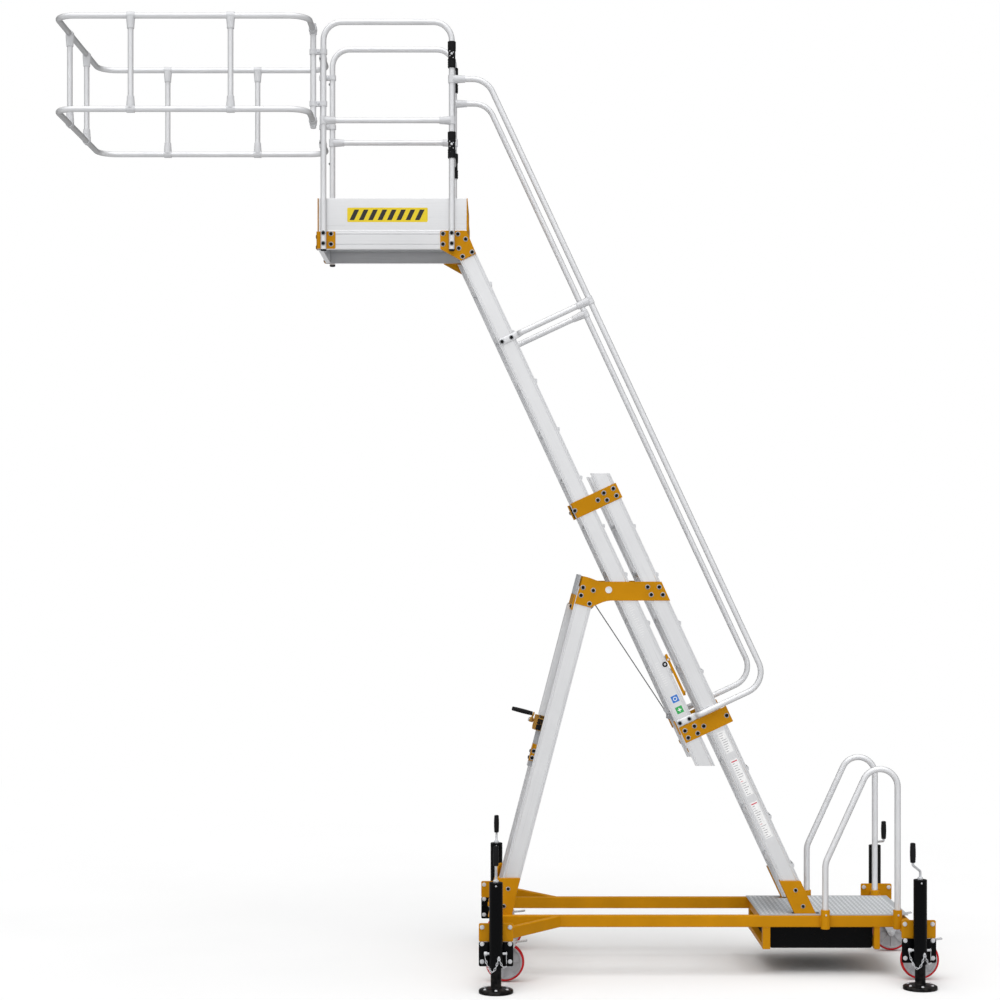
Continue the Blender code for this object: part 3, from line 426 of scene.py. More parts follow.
def sweep(bm, path, radius, sides=28, loop=False):
    """A round bar along a path. The radius may be a list, and each entry a pair (across, along y)."""
    path = [Vector(point) for point in path]
    last = len(path) - 1
    rings = []
    normal = None
    for i, point in enumerate(path):
        before = path[i - 1] if i or loop else point
        after = path[(i + 1) % len(path)] if i < last or loop else point
        way = (after - before).normalized()
        if normal is None:
            normal = Y if abs(way.y) < 0.9 else Z
        normal = (normal - way * normal.dot(way)).normalized()
        size = radius[i] if isinstance(radius, list) else radius
        wide, deep = size if isinstance(size, tuple) else (size, size)
        offsets = ring_of(sides, normal * deep, way.cross(normal) * wide)
        rings.append([bm.verts.new(point + offset) for offset in offsets])
    for a, b in zip(rings, rings[1:] + rings[:1] if loop else rings[1:]):
        for k in range(sides):
            n = (k + 1) % sides
            bm.faces.new((a[k], a[n], b[n], b[k]))
    if not loop:
        bm.faces.new(rings[0][::-1])
        bm.faces.new(rings[-1])
    return bm


def lathe(bm, profile, at, axis, steps=24, ring=False):
    """A turned shape from (radius, height) points; a third number gives that many flat sides."""
    turn = Z.rotation_difference(Vector(axis)).to_matrix()
    rings = []
    for radius, height, *flats in profile:
        points = []
        for i in range(steps if radius else 1):
            angle = 2 * math.pi * i / steps
            reach = radius
            if flats:
                sector = 2 * math.pi / flats[0]
                reach = radius / math.cos(angle % sector - sector / 2)
            flat = Vector((reach * math.cos(angle), reach * math.sin(angle), height))
            points.append(bm.verts.new(Vector(at) + turn @ flat))
        rings.append(points)
    for a, b in zip(rings, rings[1:] + rings[:1] if ring else rings[1:]):
        for i in range(steps):
            j = (i + 1) % steps
            corners = list(dict.fromkeys([a[i % len(a)], a[j % len(a)], b[j % len(b)], b[i % len(b)]]))
            if len(corners) > 2:
                bm.faces.new(corners)
    return bm


def mirrored(half):
    """A profile followed by its mirror image in height."""
    return half + [(radius, -height) for radius, height in half[::-1]]


def closed(points):
    """A closed profile from the axis out and back, from the points between."""
    return [(0.0, points[0][1]), *points, (0.0, points[-1][1])]


def rod(bm, start, end, radius, edge=0.0008, inner=0.0, steps=24):
    """A round bar with broken edges, hollow if it has an inner radius."""
    start, end = Vector(start), Vector(end)
    length = (end - start).length
    outside = [(radius - edge, 0.0), (radius, edge), (radius, length - edge), (radius - edge, length)]
    return lathe(bm, [(inner, 0.0), *outside, (inner, length)], start, end - start, steps, ring=inner > 0.0)


def sleeve(bm, start, end, inner, outer, edge=0.001):
    """A hollow round tube with broken outer edges."""
    return rod(bm, start, end, outer, edge, inner, 32)


def washer(bm, at, normal, size):
    edge = [(size * 1.45, -0.001), (size * 1.45, 0.0008), (size * 1.38, 0.0012)]
    return lathe(bm, closed(edge), at, normal, 20)


def button_bolt(bm, at, normal, size):
    """A domed head with a hexagon socket."""
    dome = [(0.0, 0.0005), (size, 0.0005), (size * 0.98, 0.003), (size * 0.80, 0.005), (size * 0.52, 0.006)]
    return lathe(bm, dome + [(size * 0.40, 0.006, 6), (size * 0.40, 0.0032, 6), (0.0, 0.003)], at, normal)


def hex_bolt(bm, at, normal, size, height=0.006):
    """A washer under a hexagon head."""
    flange = [(0.0, -0.001), (size * 1.35, -0.001), (size * 1.35, 0.0012), (size * 1.25, 0.0018)]
    head = [(size * 0.98, 0.0018), (size, 0.0022, 6), (size, height, 6)]
    crown = [(size * 0.97, height + 0.0012), (0.0, height + 0.0014)]
    return lathe(bm, flange + head + crown, at, normal)


def grip(bm, start, way, length, radius, rings=11):
    """A barrel-shaped handle with rings pressed round it."""
    profile = [(0.0, 0.0), (radius * 0.72, 0.0), (radius * 0.86, 0.0015)]
    pitch = (length - 0.008) / rings
    for i in range(rings):
        swell = radius * (0.88 + 0.12 * math.sin(math.pi * (i + 0.5) / rings))
        height = 0.004 + pitch * i
        profile += [(swell * 0.95, height), (swell, height + pitch * 0.25), (swell, height + pitch * 0.75)]
    profile += [(radius * 0.86, length - 0.003), (radius * 0.62, length), (0.0, length)]
    return lathe(bm, profile, start, way)


def end_cap(bm, at, way):
    """A plastic plug in a tube's open end."""
    rim = [(0.0, -0.004), (TUBE + 0.0006, -0.004), (TUBE + 0.0008, 0.001), (TUBE * 0.8, 0.004), (0.0, 0.0046)]
    return lathe(bm, rim, at, way)


def tee(bm, at, rail, branch, reach=0.064, half=0.0215):
    """A cast tee: a saddle round the rail and a tapered socket along the branch."""
    rail, branch = Vector(rail), Vector(branch)
    sleeve(bm, *ends(at, rail * half), TUBE - 0.0005, TUBE + 0.0042, 0.0022)
    socket = [(-0.0006, TUBE * 0.4), (0.0068, TUBE * 0.4), (0.0066, TUBE + 0.004), (0.0034, reach - 0.008),
              (0.0036, reach - 0.003), (0.0026, reach), (-0.0006, reach)]
    return lathe(bm, [(TUBE + wall, height) for wall, height in socket], at, branch, 32, ring=True)


def weld(bm, start, end, size=0.0035):
    """A rippled bead along a short line."""
    start, end = Vector(start), Vector(end)
    steps = max(2, int((end - start).length / 0.004))
    points = [start.lerp(end, i / steps) for i in range(steps)] + [end]
    sizes = [size * (1.0 if i % 2 else 0.82) for i in range(steps)] + [size * 0.7]
    return sweep(bm, points, sizes, 8)


# ---- from shapes to pieces -----------------------------------------------------------------


def smooth(mesh):
    mesh.shade_smooth()
    mesh.set_sharp_from_angle(angle=math.radians(34))


def solid(name, bm, bevel=0.0, segments=2):
    bmesh.ops.recalc_face_normals(bm, faces=bm.faces)
    mesh = bpy.data.meshes.new(name)
    bm.to_mesh(mesh)
    bm.free()
    smooth(mesh)
    item = placed(name, mesh)
    if bevel:
        modifier = item.modifiers.new("edges", "BEVEL")
        modifier.width = bevel
        modifier.segments = segments
        modifier.limit_method = "ANGLE"
        modifier.angle_limit = math.radians(40)
        modifier.harden_normals = True
    return item


def placed(name, data):
    item = bpy.data.objects.new(name, data)
    bpy.context.scene.collection.objects.link(item)
    return item


def cut(item, bm):
    """Takes a shape out of an item and keeps the result as its mesh."""
    tool = solid("tool", bm)
    modifier = item.modifiers.new("cut", "BOOLEAN")
    modifier.operation = "DIFFERENCE"
    modifier.object = tool
    item.modifiers.move(len(item.modifiers) - 1, 0)
    for other in item.modifiers[1:]:
        other.show_viewport = False
    bpy.context.view_layer.update()
    item.data = bpy.data.meshes.new_from_object(item.evaluated_get(bpy.context.evaluated_depsgraph_get()))
    item.modifiers.remove(modifier)
    bpy.data.objects.remove(tool, do_unlink=True)
    for other in item.modifiers:
        other.show_viewport = True
    smooth(item.data)


def dress(item, look, body, node=None):
    """Moves an item into the frame, sets its material and the body it rides on, and hides the CAD node it
    replaces.
    """
    item.data.transform(Matrix.Translation(DATUM))
    material, slot = LOOKS[look]
    item.data.materials.clear()
    item.data.materials.append(material)
    if body:
        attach(item, body)
    if node:
        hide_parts(node)
    return item


def piece(body, name, bm, look, bevel=0.0, segments=2, node=None, holes=None):
    item = solid(name, bm, bevel, segments)
    if holes is not None:
        cut(item, holes)
    return dress(item, look, body, node)


base = partial(piece, "root")
slide = partial(piece, "ladder_section")


def joint_place(name):
    return Vector(JOINTS[name]["pos_m"]) - DATUM


def on_ladder(along, back, y=0.0, z=LADDER_POINT.z):
    rise = (z - LADDER_POINT.z) / UP.z
    return LADDER_POINT + UP * (rise + along) + BACK * back + Y * y


def at_height(back, z, y=0.0):
    """The point at height z on the line that runs along the ladder, so far back."""
    start = on_ladder(0.0, back, y)
    return start + UP * ((z - start.z) / UP.z)


def on_prop(z, back=0.0, y=0.0):
    return PROP_POINT + PROP_UP * ((z - PROP_POINT.z) / PROP_UP.z) + PROP_BACK * back + Y * y


def prop_bar(z_from, z_to, back, width, depth, y=0.0):
    return beam(new(), on_prop(z_from, back, y), on_prop(z_to, back, y), Y, PROP_BACK, width, depth)


def bolts(host, name, places, normal, size=0.009):
    """Black button heads on galvanised washers."""
    heads, washers = new(), new()
    for at in places:
        button_bolt(heads, at, normal, size)
        washer(washers, at, normal, size)
    host(f"{name}_bolts", heads, "bolt")
    host(f"{name}_washers", washers, "galvanised")


# ---- ladder --------------------------------------------------------------------------------


def stile(point, up, back, z_from, z_to, side):
    """An extrusion with two ribs, a fine groove in each, a web and hollow flanges."""
    half, rib, groove, wall = STILE_HALF, 0.014, 0.0025, 0.0024
    inner, lip, outer = half - rib, STILE_INNER + 0.011, STILE_OUTER
    quarter = [
        (inner - groove, outer - groove), (inner, outer), (half - 0.0095, outer),
        (half - 0.008, outer - 0.0032), (half - 0.006, outer - 0.0032), (half - 0.0045, outer),
        (half - 0.0012, outer), (half, outer - 0.0012), (half, STILE_INNER),
        (half - wall, STILE_INNER), (half - wall, lip), (inner + wall, lip),
        (inner + wall, STILE_INNER), (inner, STILE_INNER), (inner, STILE_WEB),
    ]
    start = []
    for across, y in quarter + [(-across, y) for across, y in quarter[::-1]]:
        at = point + back * across + Y * (side * y)
        start.append(at + up * ((z_from - at.z) / up.z))
    return prism(new(), start, up * ((z_to - z_from) / up.z))


def rung(centre, half=0.013, teeth=22):
    """A level tread with a serrated top, and a spigot into each stile."""
    reach = STILE_HALF / math.sin(math.acos(-UP.x)) - 0.010
    front, rear = -reach, reach + 0.020
    outline = [(front, half - 0.003)]
    for i in range(teeth + 1):
        x = front + 0.003 + (rear - front - 0.006) * i / teeth
        outline.append((x, half - (0.0 if i % 2 else 0.0016)))
    outline += [(rear, half - 0.004), (rear, -half + 0.008), (rear - 0.006, -half)]
    outline += [(front + 0.003, -half), (front, -half + 0.003)]
    y = STILE_INNER - 0.0006
    bm = prism(new(), [(centre.x + x, -y, centre.z + z) for x, z in outline], (0.0, 2 * y, 0.0))
    for side in SIDES.values():
        block(bm, (centre.x - 0.026, side * (y - 0.001), centre.z - 0.011),
              (centre.x + 0.026, side * (STILE_WEB - 0.0004), centre.z + 0.011))
    return bm


def ladder_section(host, name, node, back, clear=0.030):
    low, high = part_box(node)
    point = on_ladder(0.0, back)
    for label, side in SIDES.items():
        shape = stile(point, UP, BACK, low.z, high.z, side)
        host(f"{name}_stile_{label}", shape, "ladder", 0.0005, 1, node)
    rise = RUNG_PITCH * UP.z
    steps = int((LADDER_POINT.z - low.z) / rise) + 1
    heights = [LADDER_POINT.z + rise * i for i in range(-steps, 2 * steps)]
    heights = [z for z in heights if low.z + clear < z < high.z - clear]
    for number, z in enumerate(heights, 1):
        host(f"{name}_rung_{number}", rung(point + UP * ((z - point.z) / UP.z)), "crosswise", 0.0006, 1)


def ladder_from(x, z):
    """(along, back) of an (x, z) place, from the sliding section's centre line."""
    offset = Vector((x, 0.0, z)) - LADDER_POINT
    return offset.dot(UP), offset.dot(BACK)


def guide(host, name, z, along, back, fold_back, side, places):
    """A side plate with one edge folded behind or before the stiles, rounded at the fold."""
    outer, lip, bend = PLATE_Y + PLATE, STILE_INNER - 0.015, 0.008
    end, sign = (back[1], 1) if fold_back < sum(back) / 2 else (back[0], -1)
    outline = [(end, outer)]
    for k in range(5):
        angle = math.pi / 2 * k / 4
        turned_back = fold_back + sign * bend * (1 - math.sin(angle))
        outline.append((turned_back, outer - bend * (1 - math.cos(angle))))
    inside = fold_back + sign * PLATE
    outline += [(fold_back, lip), (inside, lip), (inside, PLATE_Y), (end, PLATE_Y)]
    start = [on_ladder(along[0], b, side * y, z) for b, y in outline]
    host(f"{name}_plate", prism(new(), start, UP * (along[1] - along[0])), "amber", 0.0012, node=name)
    shift = (z - LADDER_POINT.z) / UP.z
    spots = [ladder_from(*place) for place in places]
    bolts(host, name, [on_ladder(a - shift, b, side * outer, z) for a, b in spots], Y * side)
    corner = on_ladder(sum(along) / 2, fold_back + sign * (PLATE + 0.0015), side * (lip + 0.020), z)
    host(f"{name}_pad", beam(new(), *ends(corner, UP * 0.030), Y, BACK, 0.030, 0.003), "plastic", 0.0006, 1)


def guides(label, side):
    places = [(0.4223, 2.4189), (0.5427, 2.4746), (0.5734, 2.5116),
              (0.5901, 2.4746), (0.6229, 2.5351), (0.6396, 2.4986)]
    guide(base, f"upper_guide_{label}", 2.45, (-0.05, 0.034), (-0.060, 0.200), -0.060, side, places)
    places = [(0.9970, 1.2714), (1.0142, 1.2349), (1.0465, 1.2954),
              (1.0638, 1.2578), (1.0951, 1.2954), (1.2145, 1.3512)]
    guide(slide, f"lower_guide_{label}", 1.3, (-0.084, 0.004), (-0.042, 0.230), 0.230, side, places)
    low, high = (at_height(-0.0495, z, side * 0.238) for z in (1.248, 1.318))
    slide(f"front_wear_strip_{label}", beam(new(), low, high, Y, BACK, 0.046, 0.005), "amber", 0.001)
    latch = beam(new(), *ends(at_height(-0.048, 1.168, side * 0.245), UP * 0.010), Y, BACK, 0.022, 0.004)
    slide(f"stile_foot_latch_{label}", latch, "yellow_zinc", 0.001)


def coil(centre, u, v, axis, turns, steps, start, pitch, wire):
    """A wire wound about a centre, in the plane of two vectors as long as the coil's radius."""
    points = []
    for i in range(turns * steps + 1):
        angle = 2 * math.pi * i / steps
        points.append(centre + u * math.cos(angle) + v * math.sin(angle) + axis * (start + pitch * i / steps))
    return sweep(new(), points, wire, 8)


def rung_catch():
    """The rod, its two levers, their return springs and the retaining washers."""
    host = partial(piece, "rung_catch")
    at = joint_place("catch_swing")
    at.y = 0.0
    host("catch_rod", rod(new(), *ends(at, Y * 0.252), 0.006), "zinc", node="rung_catch")
    for label, side in SIDES.items():
        out = Y * side
        start, end = at + UP * 0.030 + out * 0.244, at - UP * 0.205 + out * 0.244
        bm = beam(new(), start, end, Y, BACK, 0.012, 0.014)
        beam(bm, end, end + BACK * 0.012 + UP * 0.020, Y, UP, 0.012, 0.010)
        sleeve(bm, at + out * 0.236, at + out * 0.2515, 0.0062, 0.0115)
        host(f"catch_lever_{label}", bm, "amber", 0.0012)
        spring = coil(at, BACK * 0.0085, UP * 0.0085, out, 7, 14, 0.212, 0.003, 0.0011)
        host(f"catch_spring_{label}", spring, "zinc")
        centre = Vector((0.893, side * (STILE_OUTER + 0.0002), 1.6171))
        start = centre - out * 0.002
        collar = sleeve(new(), start, centre + out * 0.004, 0.006, 0.014, 0.0015)
        slide(f"catch_washer_{label}", collar, "plastic")
        pin_end = rod(new(), start, centre + out * 0.0055, 0.0062, 0.0015)
        slide(f"catch_pin_end_{label}", pin_end, "zinc")


# ---- prop, arms and winch ------------------------------------------------------------------


def prop():
    low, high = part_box("prop_frame")
    for label, side in SIDES.items():
        leg = stile(PROP_POINT, PROP_UP, PROP_BACK, low.z, high.z, side)
        base(f"prop_leg_{label}", leg, "prop", 0.0005, 1, "prop_frame")
    for number, z in enumerate((0.620, 1.060, 1.800), 1):
        bar = beam(new(), *ends(on_prop(z), Y * 0.2445), PROP_BACK, PROP_UP, 0.050, 0.050)
        base(f"prop_cross_bar_{number}", bar, "crosswise", 0.003, 3)
    base("prop_head_plate", prop_bar(1.968, 2.072, -0.050, 2 * STILE_OUTER, 0.007), "galvanised", 0.001)
    base("prop_head_bar", prop_bar(1.890, 1.967, -0.0505, 2 * STILE_OUTER, 0.008), "amber", 0.0015)
    places = [on_prop(1.906, -0.0545, y) for y in (-0.235, -0.120, 0.120, 0.235)]
    bolts(base, "prop_head_bar", places, -PROP_BACK)


def arms(label, side):
    """The plate that ties the prop's head to the fixed ladder section."""
    spots = [(0.4656, 2.0187), (0.5187, 2.0036), (0.4547, 1.9775), (0.4989, 1.9338),
             (0.8024, 2.0213), (0.8628, 2.0213), (0.8211, 1.9812), (0.8816, 1.9812)]
    shares = [k / 5 for k in range(1, 5)]
    outline = [(0.4225, 1.935), (0.466, 2.078)]
    outline += [(0.466 + 0.086 * share, 2.078 - 0.029 * share ** 1.3) for share in shares]
    outline += [(0.552, 2.049), (0.875, 2.049), (0.920, 1.950), (0.613, 1.950)]
    for share in shares:
        outline.append((0.613 - 0.108 * share, 1.950 - 0.037 * share * share * (1.6 - 0.6 * share)))
    outline.append((0.505, 1.913))
    face = side * (PLATE_Y + PLATE)
    hole = lathe(new(), closed([(0.017, -0.05), (0.017, 0.05)]), (0.599, side * 0.263, 2.006), Y, 40)
    shape = plate(new(), outline, side * PLATE_Y, face, 0)
    base(f"prop_arm_{label}", shape, "amber", 0.001, node=f"a_arm_{label}", holes=hole)
    bolts(base, f"prop_arm_{label}", [(x, face, z) for x, z in spots], Y * side)
    plug = [(0.0, -0.004), (0.0166, -0.004), (0.0178, 0.0), (0.0178, 0.0012),
            (0.016, 0.0022), (0.014, 0.0016), (0.0, 0.001)]
    base(f"prop_arm_plug_{label}", lathe(new(), plug, (0.599, face, 2.006), Y * side, 40), "white_plastic")


def prop_side(z_from, z_to, back, front):
    """The (x, z) outline of a plate whose edges follow the prop."""
    return [on_prop(*spot).xz for spot in ((z_from, back), (z_to, back), (z_to, front), (z_from, front))]


def winch():
    """Post, cheeks and worm case on the prop's middle, with the drum and the crank."""
    axle = joint_place("drum_turn")
    crank_at = joint_place("winch_crank_turn")

    def bore(radius):
        return rod(new(), *ends(axle, Y * 0.09), radius)

    post, inside = prop_bar(1.320, 1.913, -0.050, 0.060, 0.042), prop_bar(1.31, 1.95, -0.050, 0.052, 0.034)
    base("winch_post", post, "prop", 0.002, 2, "winch_housing", inside)
    base("winch_back_plate", prop_bar(1.030, 1.840, -0.0295, 0.070, 0.008), "galvanised", 0.0015)
    base("winch_stand_off", prop_bar(1.050, 1.245, -0.045, 0.050, 0.034), "galvanised", 0.0015)
    base("winch_foot_plate", prop_bar(1.078, 1.170, -0.0595, 0.070, 0.005), "amber", 0.0012)
    base("winch_rope_bar", prop_bar(1.2405, 1.250, -0.082, 0.070, 0.006), "yellow_zinc", 0.0015)
    places = [on_prop(z, -0.062, side * 0.024) for z in (1.092, 1.126) for side in SIDES.values()]
    bolts(base, "winch_foot", places, -PROP_BACK, 0.0075)
    for label, side in SIDES.items():
        ear = plate(new(), prop_side(1.080, 1.168, -0.032, -0.060), side * 0.0255, side * 0.030, 0.003)
        base(f"winch_foot_ear_{label}", ear, "amber", 0.0008)
        places = [on_prop(z, -0.046, side * 0.030) for z in (1.096, 1.132)]
        bolts(base, f"winch_foot_ear_{label}", places, Y * side)
        cheek = plate(new(), prop_side(1.240, 1.305, -0.030, -0.085), side * 0.030, side * 0.036, 0.012)
        base(f"winch_cheek_{label}", cheek, "yellow_zinc", 0.001, holes=bore(0.0064))
        cover = prop_bar(1.243, 1.300, -0.054, 0.0036, 0.028, side * 0.038)
        base(f"winch_brake_cover_{label}", cover, "plastic", 0.001, holes=bore(0.0125))
    case = beam(new(), *ends(crank_at + PROP_BACK * 0.0425, PROP_UP * 0.034), Y, PROP_BACK, 0.036, 0.055)
    bores = rod(bore(0.0064), crank_at - PROP_BACK * 0.010, crank_at + PROP_BACK * 0.0325, 0.0084)
    base("winch_worm_case", case, "yellow_zinc", 0.006, 3, holes=bores)

    host = partial(piece, "winch_drum")
    spool = mirrored([(0.0, -0.028), (0.024, -0.028), (0.024, -0.0245), (0.014, -0.024)])
    host("winch_drum_spool", lathe(new(), spool, axle, Y, 40), "plastic", 0.0006, 1, "winch_drum")
    spindle = rod(new(), *ends(axle, Y * 0.042), 0.006)
    host("winch_drum_axle", hex_bolt(spindle, axle - Y * 0.0375, -Y, 0.0075), "bolt")
    wound = coil(axle, PROP_BACK * 0.0168, PROP_UP * 0.0168, Y, 9, 20, -0.021, 0.004644, 0.0026)
    host("winch_drum_rope", wound, "rope")

    host = partial(piece, "winch_crank")
    arm_end = crank_at + PROP_UP * 0.043 - Y * 0.150
    way = (arm_end - crank_at).normalized()
    boss = rod(new(), crank_at + PROP_BACK * 0.032, crank_at - PROP_BACK * 0.006, 0.008)
    sleeve(boss, crank_at + PROP_BACK * 0.012, crank_at - PROP_BACK * 0.010, 0.007, 0.013, 0.002)
    host("winch_crank_boss", boss, "yellow_zinc", node="winch_crank")
    start, end = crank_at - way * 0.010, arm_end + way * 0.010
    arm = beam(new(), start, end, way.cross(PROP_BACK), PROP_BACK, 0.020, 0.0078)
    host("winch_crank_arm", arm, "yellow_zinc", 0.003, 3)
    nut = hex_bolt(new(), crank_at - PROP_BACK * 0.0098, -PROP_BACK, 0.0085)
    rod(nut, arm_end + PROP_BACK * 0.006, arm_end - PROP_BACK * 0.0155, 0.005)
    host("winch_crank_nut", nut, "zinc")
    host("winch_crank_grip", grip(new(), arm_end - PROP_BACK * 0.006, -PROP_BACK, 0.112, 0.0125), "plastic")


def rope():
    """Sheave with its axle and spacers, the rope run to the ladder, and the anchor on its rung."""
    sheave = joint_place("pulley_turn")
    wrap, wire = 0.0256, 0.003
    rim = mirrored([(0.0062, -0.010), (0.011, -0.010), (0.012, -0.007), (0.020, -0.007), (0.0215, -0.0095),
                    (0.027, -0.010), (0.0268, -0.008), (0.0222, -0.003)])
    shape = lathe(new(), rim, sheave, Y, 48, ring=True)
    piece("rope_pulley", "rope_sheave", shape, "galvanised", node="rope_pulley")
    base("sheave_axle", rod(new(), *ends(sheave, Y * (STILE_OUTER - 0.001)), 0.0056), "zinc")
    bm = new()
    for side in SIDES.values():
        sleeve(bm, sheave + Y * side * 0.0105, sheave + Y * side * 0.2435, 0.0058, 0.0105)
    base("sheave_spacers", bm, "galvanised")

    low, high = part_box("lift_rope")
    way = Vector((high.x - low.x, 0.0, low.z - high.z)).normalized()
    normal = Vector((way.z, 0.0, -way.x))
    normal *= math.copysign(1.0, normal.x)
    tangent = sheave + normal * wrap
    end = Vector((0.930, 0.0, 1.3333)) - way * 0.010
    item = solid("lift_rope_run", sweep(new(), [tangent, end], wire, 12))
    dress(item, "rope", None, "lift_rope")
    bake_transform(item)
    over = [sheave + Matrix.Rotation(-math.radians(128) * i / 8, 3, Y) @ normal * wrap for i in range(9)]
    over += [on_prop(1.905, -0.050), on_prop(1.30, -0.060)]
    base("rope_over_sheave", sweep(new(), over, wire, 12), "rope")

    ferrule = closed([(0.0042, -0.030), (0.0055, -0.026), (0.0055, 0.004), (0.0035, 0.008)])
    bm = lathe(new(), ferrule, end, way, 20)
    slide("rope_ferrule", rod(bm, *ends(end + way * 0.012, Y * 0.018), 0.004), "zinc")
    foot, eye = on_ladder(0.0, 0.0, 0.0, 1.3109), end + way * 0.014
    outline = [(eye.x - 0.010, eye.z + 0.010), (eye.x + 0.006, eye.z + 0.012), (foot.x, foot.z + 0.020),
               (foot.x - 0.004, foot.z - 0.012), (eye.x - 0.012, eye.z - 0.014)]
    bm = new()
    for side in SIDES.values():
        plate(bm, outline, side * 0.008, side * 0.012)
    slide("rope_anchor", bm, "galvanised", 0.0008)


# ---- platform ------------------------------------------------------------------------------


def lengthwise(outline, x_from, x_to, side=1):
    """A (y, z) outline, extruded along the platform."""
    return prism(new(), [(x_from, side * y, z) for y, z in outline], (x_to - x_from, 0.0, 0.0))


def side_beam(label, side):
    low, top, outer, inner = PLATFORM_LOW_Z, PLATFORM_TOP_Z, PLATFORM_HALF, PLATFORM_HALF - 0.025
    groove, wall = outer - 0.0035, outer - 0.006
    outline = [(inner, low), (outer - 0.001, low), (outer, low + 0.001)]
    for z in (low + 0.024, top - 0.012):
        outline += [(outer, z - 0.002), (groove, z - 0.0012), (groove, z + 0.0012), (outer, z + 0.002)]
    outline += [(outer, top - 0.001), (outer - 0.001, top), (inner, top), (inner, top - 0.003)]
    outline += [(wall, top - 0.003), (wall, low + 0.003), (inner, low + 0.003)]
    shape = lengthwise(outline, PLATFORM_FRONT_X, PLATFORM_REAR_X, side)
    slide(f"platform_side_beam_{label}", shape, "lengthwise", 0.0005, 1, "platform_frame")


def platform(planks=5, ribs=16, chambers=3):
    low, top = PLATFORM_LOW_Z, PLATFORM_TOP_Z
    reach = PLATFORM_HALF - 0.0045
    for number, x, level in ((1, PLATFORM_FRONT_X, top), (2, PLATFORM_REAR_X - 0.025, top - 0.030)):
        bar = block(new(), (x, -reach, low), (x + 0.025, reach, level))
        slide(f"platform_cross_beam_{number}", bar, "crosswise", 0.002)
    half = PLATFORM_HALF - 0.0255
    pitch = 2 * half / planks
    width = pitch - 0.002
    floor_z = top - 0.029
    for number in range(planks):
        start = -half + pitch * number + 0.001
        outline = [(start, floor_z), (start, top - 0.001)]
        for i in range(2 * ribs):
            y = start + 0.002 + (width - 0.004) * i / (2 * ribs - 1)
            outline.append((y, top - (0.0012 if i % 4 < 2 else 0.0)))
        outline += [(start + width, top - 0.001), (start + width, floor_z)]
        for i in range(chambers, 0, -1):
            a, b = start + width * i / chambers - 0.0035, start + width * (i - 1) / chambers + 0.0035
            outline += [(a, floor_z), (a, top - 0.008), (b, top - 0.008), (b, floor_z)]
        shape = lengthwise(outline, PLATFORM_FRONT_X + 0.0255, PLATFORM_REAR_X - 0.001)
        node = None if number else "platform_deck"
        slide(f"platform_plank_{number + 1}", shape, "lengthwise", 0.0004, 1, node)


def toe_board(label, side):
    low, top, half = TOE_LOW_Z, TOE_TOP_Z, TOE_HALF
    outline = [(half, low), (half, low + 0.008), (half - 0.0012, low + 0.009), (half - 0.0012, top - 0.004),
               (half - 0.0022, top), (half - 0.0042, top), (half - 0.0036, low)]
    shape = lengthwise(outline, PLATFORM_FRONT_X + 0.0065, PLATFORM_REAR_X - 0.0025, side)
    slide(f"toe_board_{label}", shape, "lengthwise", 0.0004, 1, "toe_boards")


def end_boards():
    front, rear = PLATFORM_FRONT_X, PLATFORM_REAR_X
    for name, x_from, x_to, low, top, edge in (
        ("front", front, front + 0.0055, TOE_LOW_Z, TOE_TOP_Z, 0.0012),
        ("rear", rear - 0.002, rear + 0.003, TOE_LOW_Z, TOE_TOP_Z, 0.0012),
        ("rear_strip", rear + 0.003, rear + 0.0065, TOE_LOW_Z + 0.004, TOE_LOW_Z + 0.088, 0.001),
    ):
        board = block(new(), (x_from, -TOE_HALF, low), (x_to, TOE_HALF, top))
        slide(f"toe_board_{name}", board, "amber", edge)


def brackets(label, side):
    """The front corner bracket and the rear bracket that holds the ladder's head."""
    near = side * (PLATFORM_HALF + 0.0003)
    face = near + side * 0.004
    outline = [(-0.281, 3.880), (-0.143, 3.880), (-0.093, 3.7606), (-0.173, 3.7236), (-0.279, 3.783)]
    shape = plate(new(), outline, near, face, 0.010)
    slide(f"ladder_head_plate_{label}", shape, "amber", 0.001, node=f"rear_bracket_{label}")
    shim = [(-0.093, 3.7606), (-0.173, 3.7236), (-0.200, 3.783), (-0.103, 3.783)]
    shape = plate(new(), shim, side * (STILE_OUTER + 0.0003), near, 0.002)
    slide(f"ladder_head_shim_{label}", shape, "amber", 0.0006, 1)
    spots = [(-0.2655, 3.8635), (-0.2655, 3.8088), (-0.1875, 3.8615), (-0.1473, 3.8350),
             (-0.1828, 3.7876), (-0.1136, 3.7678), (-0.1630, 3.7445)]
    bolts(slide, f"ladder_head_{label}", [(x, face, z) for x, z in spots], Y * side)

    x, face = PLATFORM_FRONT_X, near + side * 0.0035
    low, high = PLATFORM_LOW_Z + 0.001, PLATFORM_TOP_Z + 0.002
    bm = plate(new(), oblong(x - 0.0045, low, x + 0.094, high), near, face, 0.006)
    block(bm, (x - 0.005, side * (PLATFORM_HALF - 0.060), low), (x - 0.001, face, high))
    slide(f"corner_bracket_{label}", bm, "amber", 0.001)
    bolts(slide, f"corner_bracket_{label}", [(x + 0.071, face, z) for z in POST_BOLTS_Z], Y * side)
    places = [(x - 0.005, side * (PLATFORM_HALF - 0.030), z) for z in (3.851, 3.797)]
    bolts(slide, f"corner_bracket_front_{label}", places, -X, 0.011)


# ---- guards --------------------------------------------------------------------------------


def tube(path, radius=TUBE):
    return sweep(new(), path, radius)


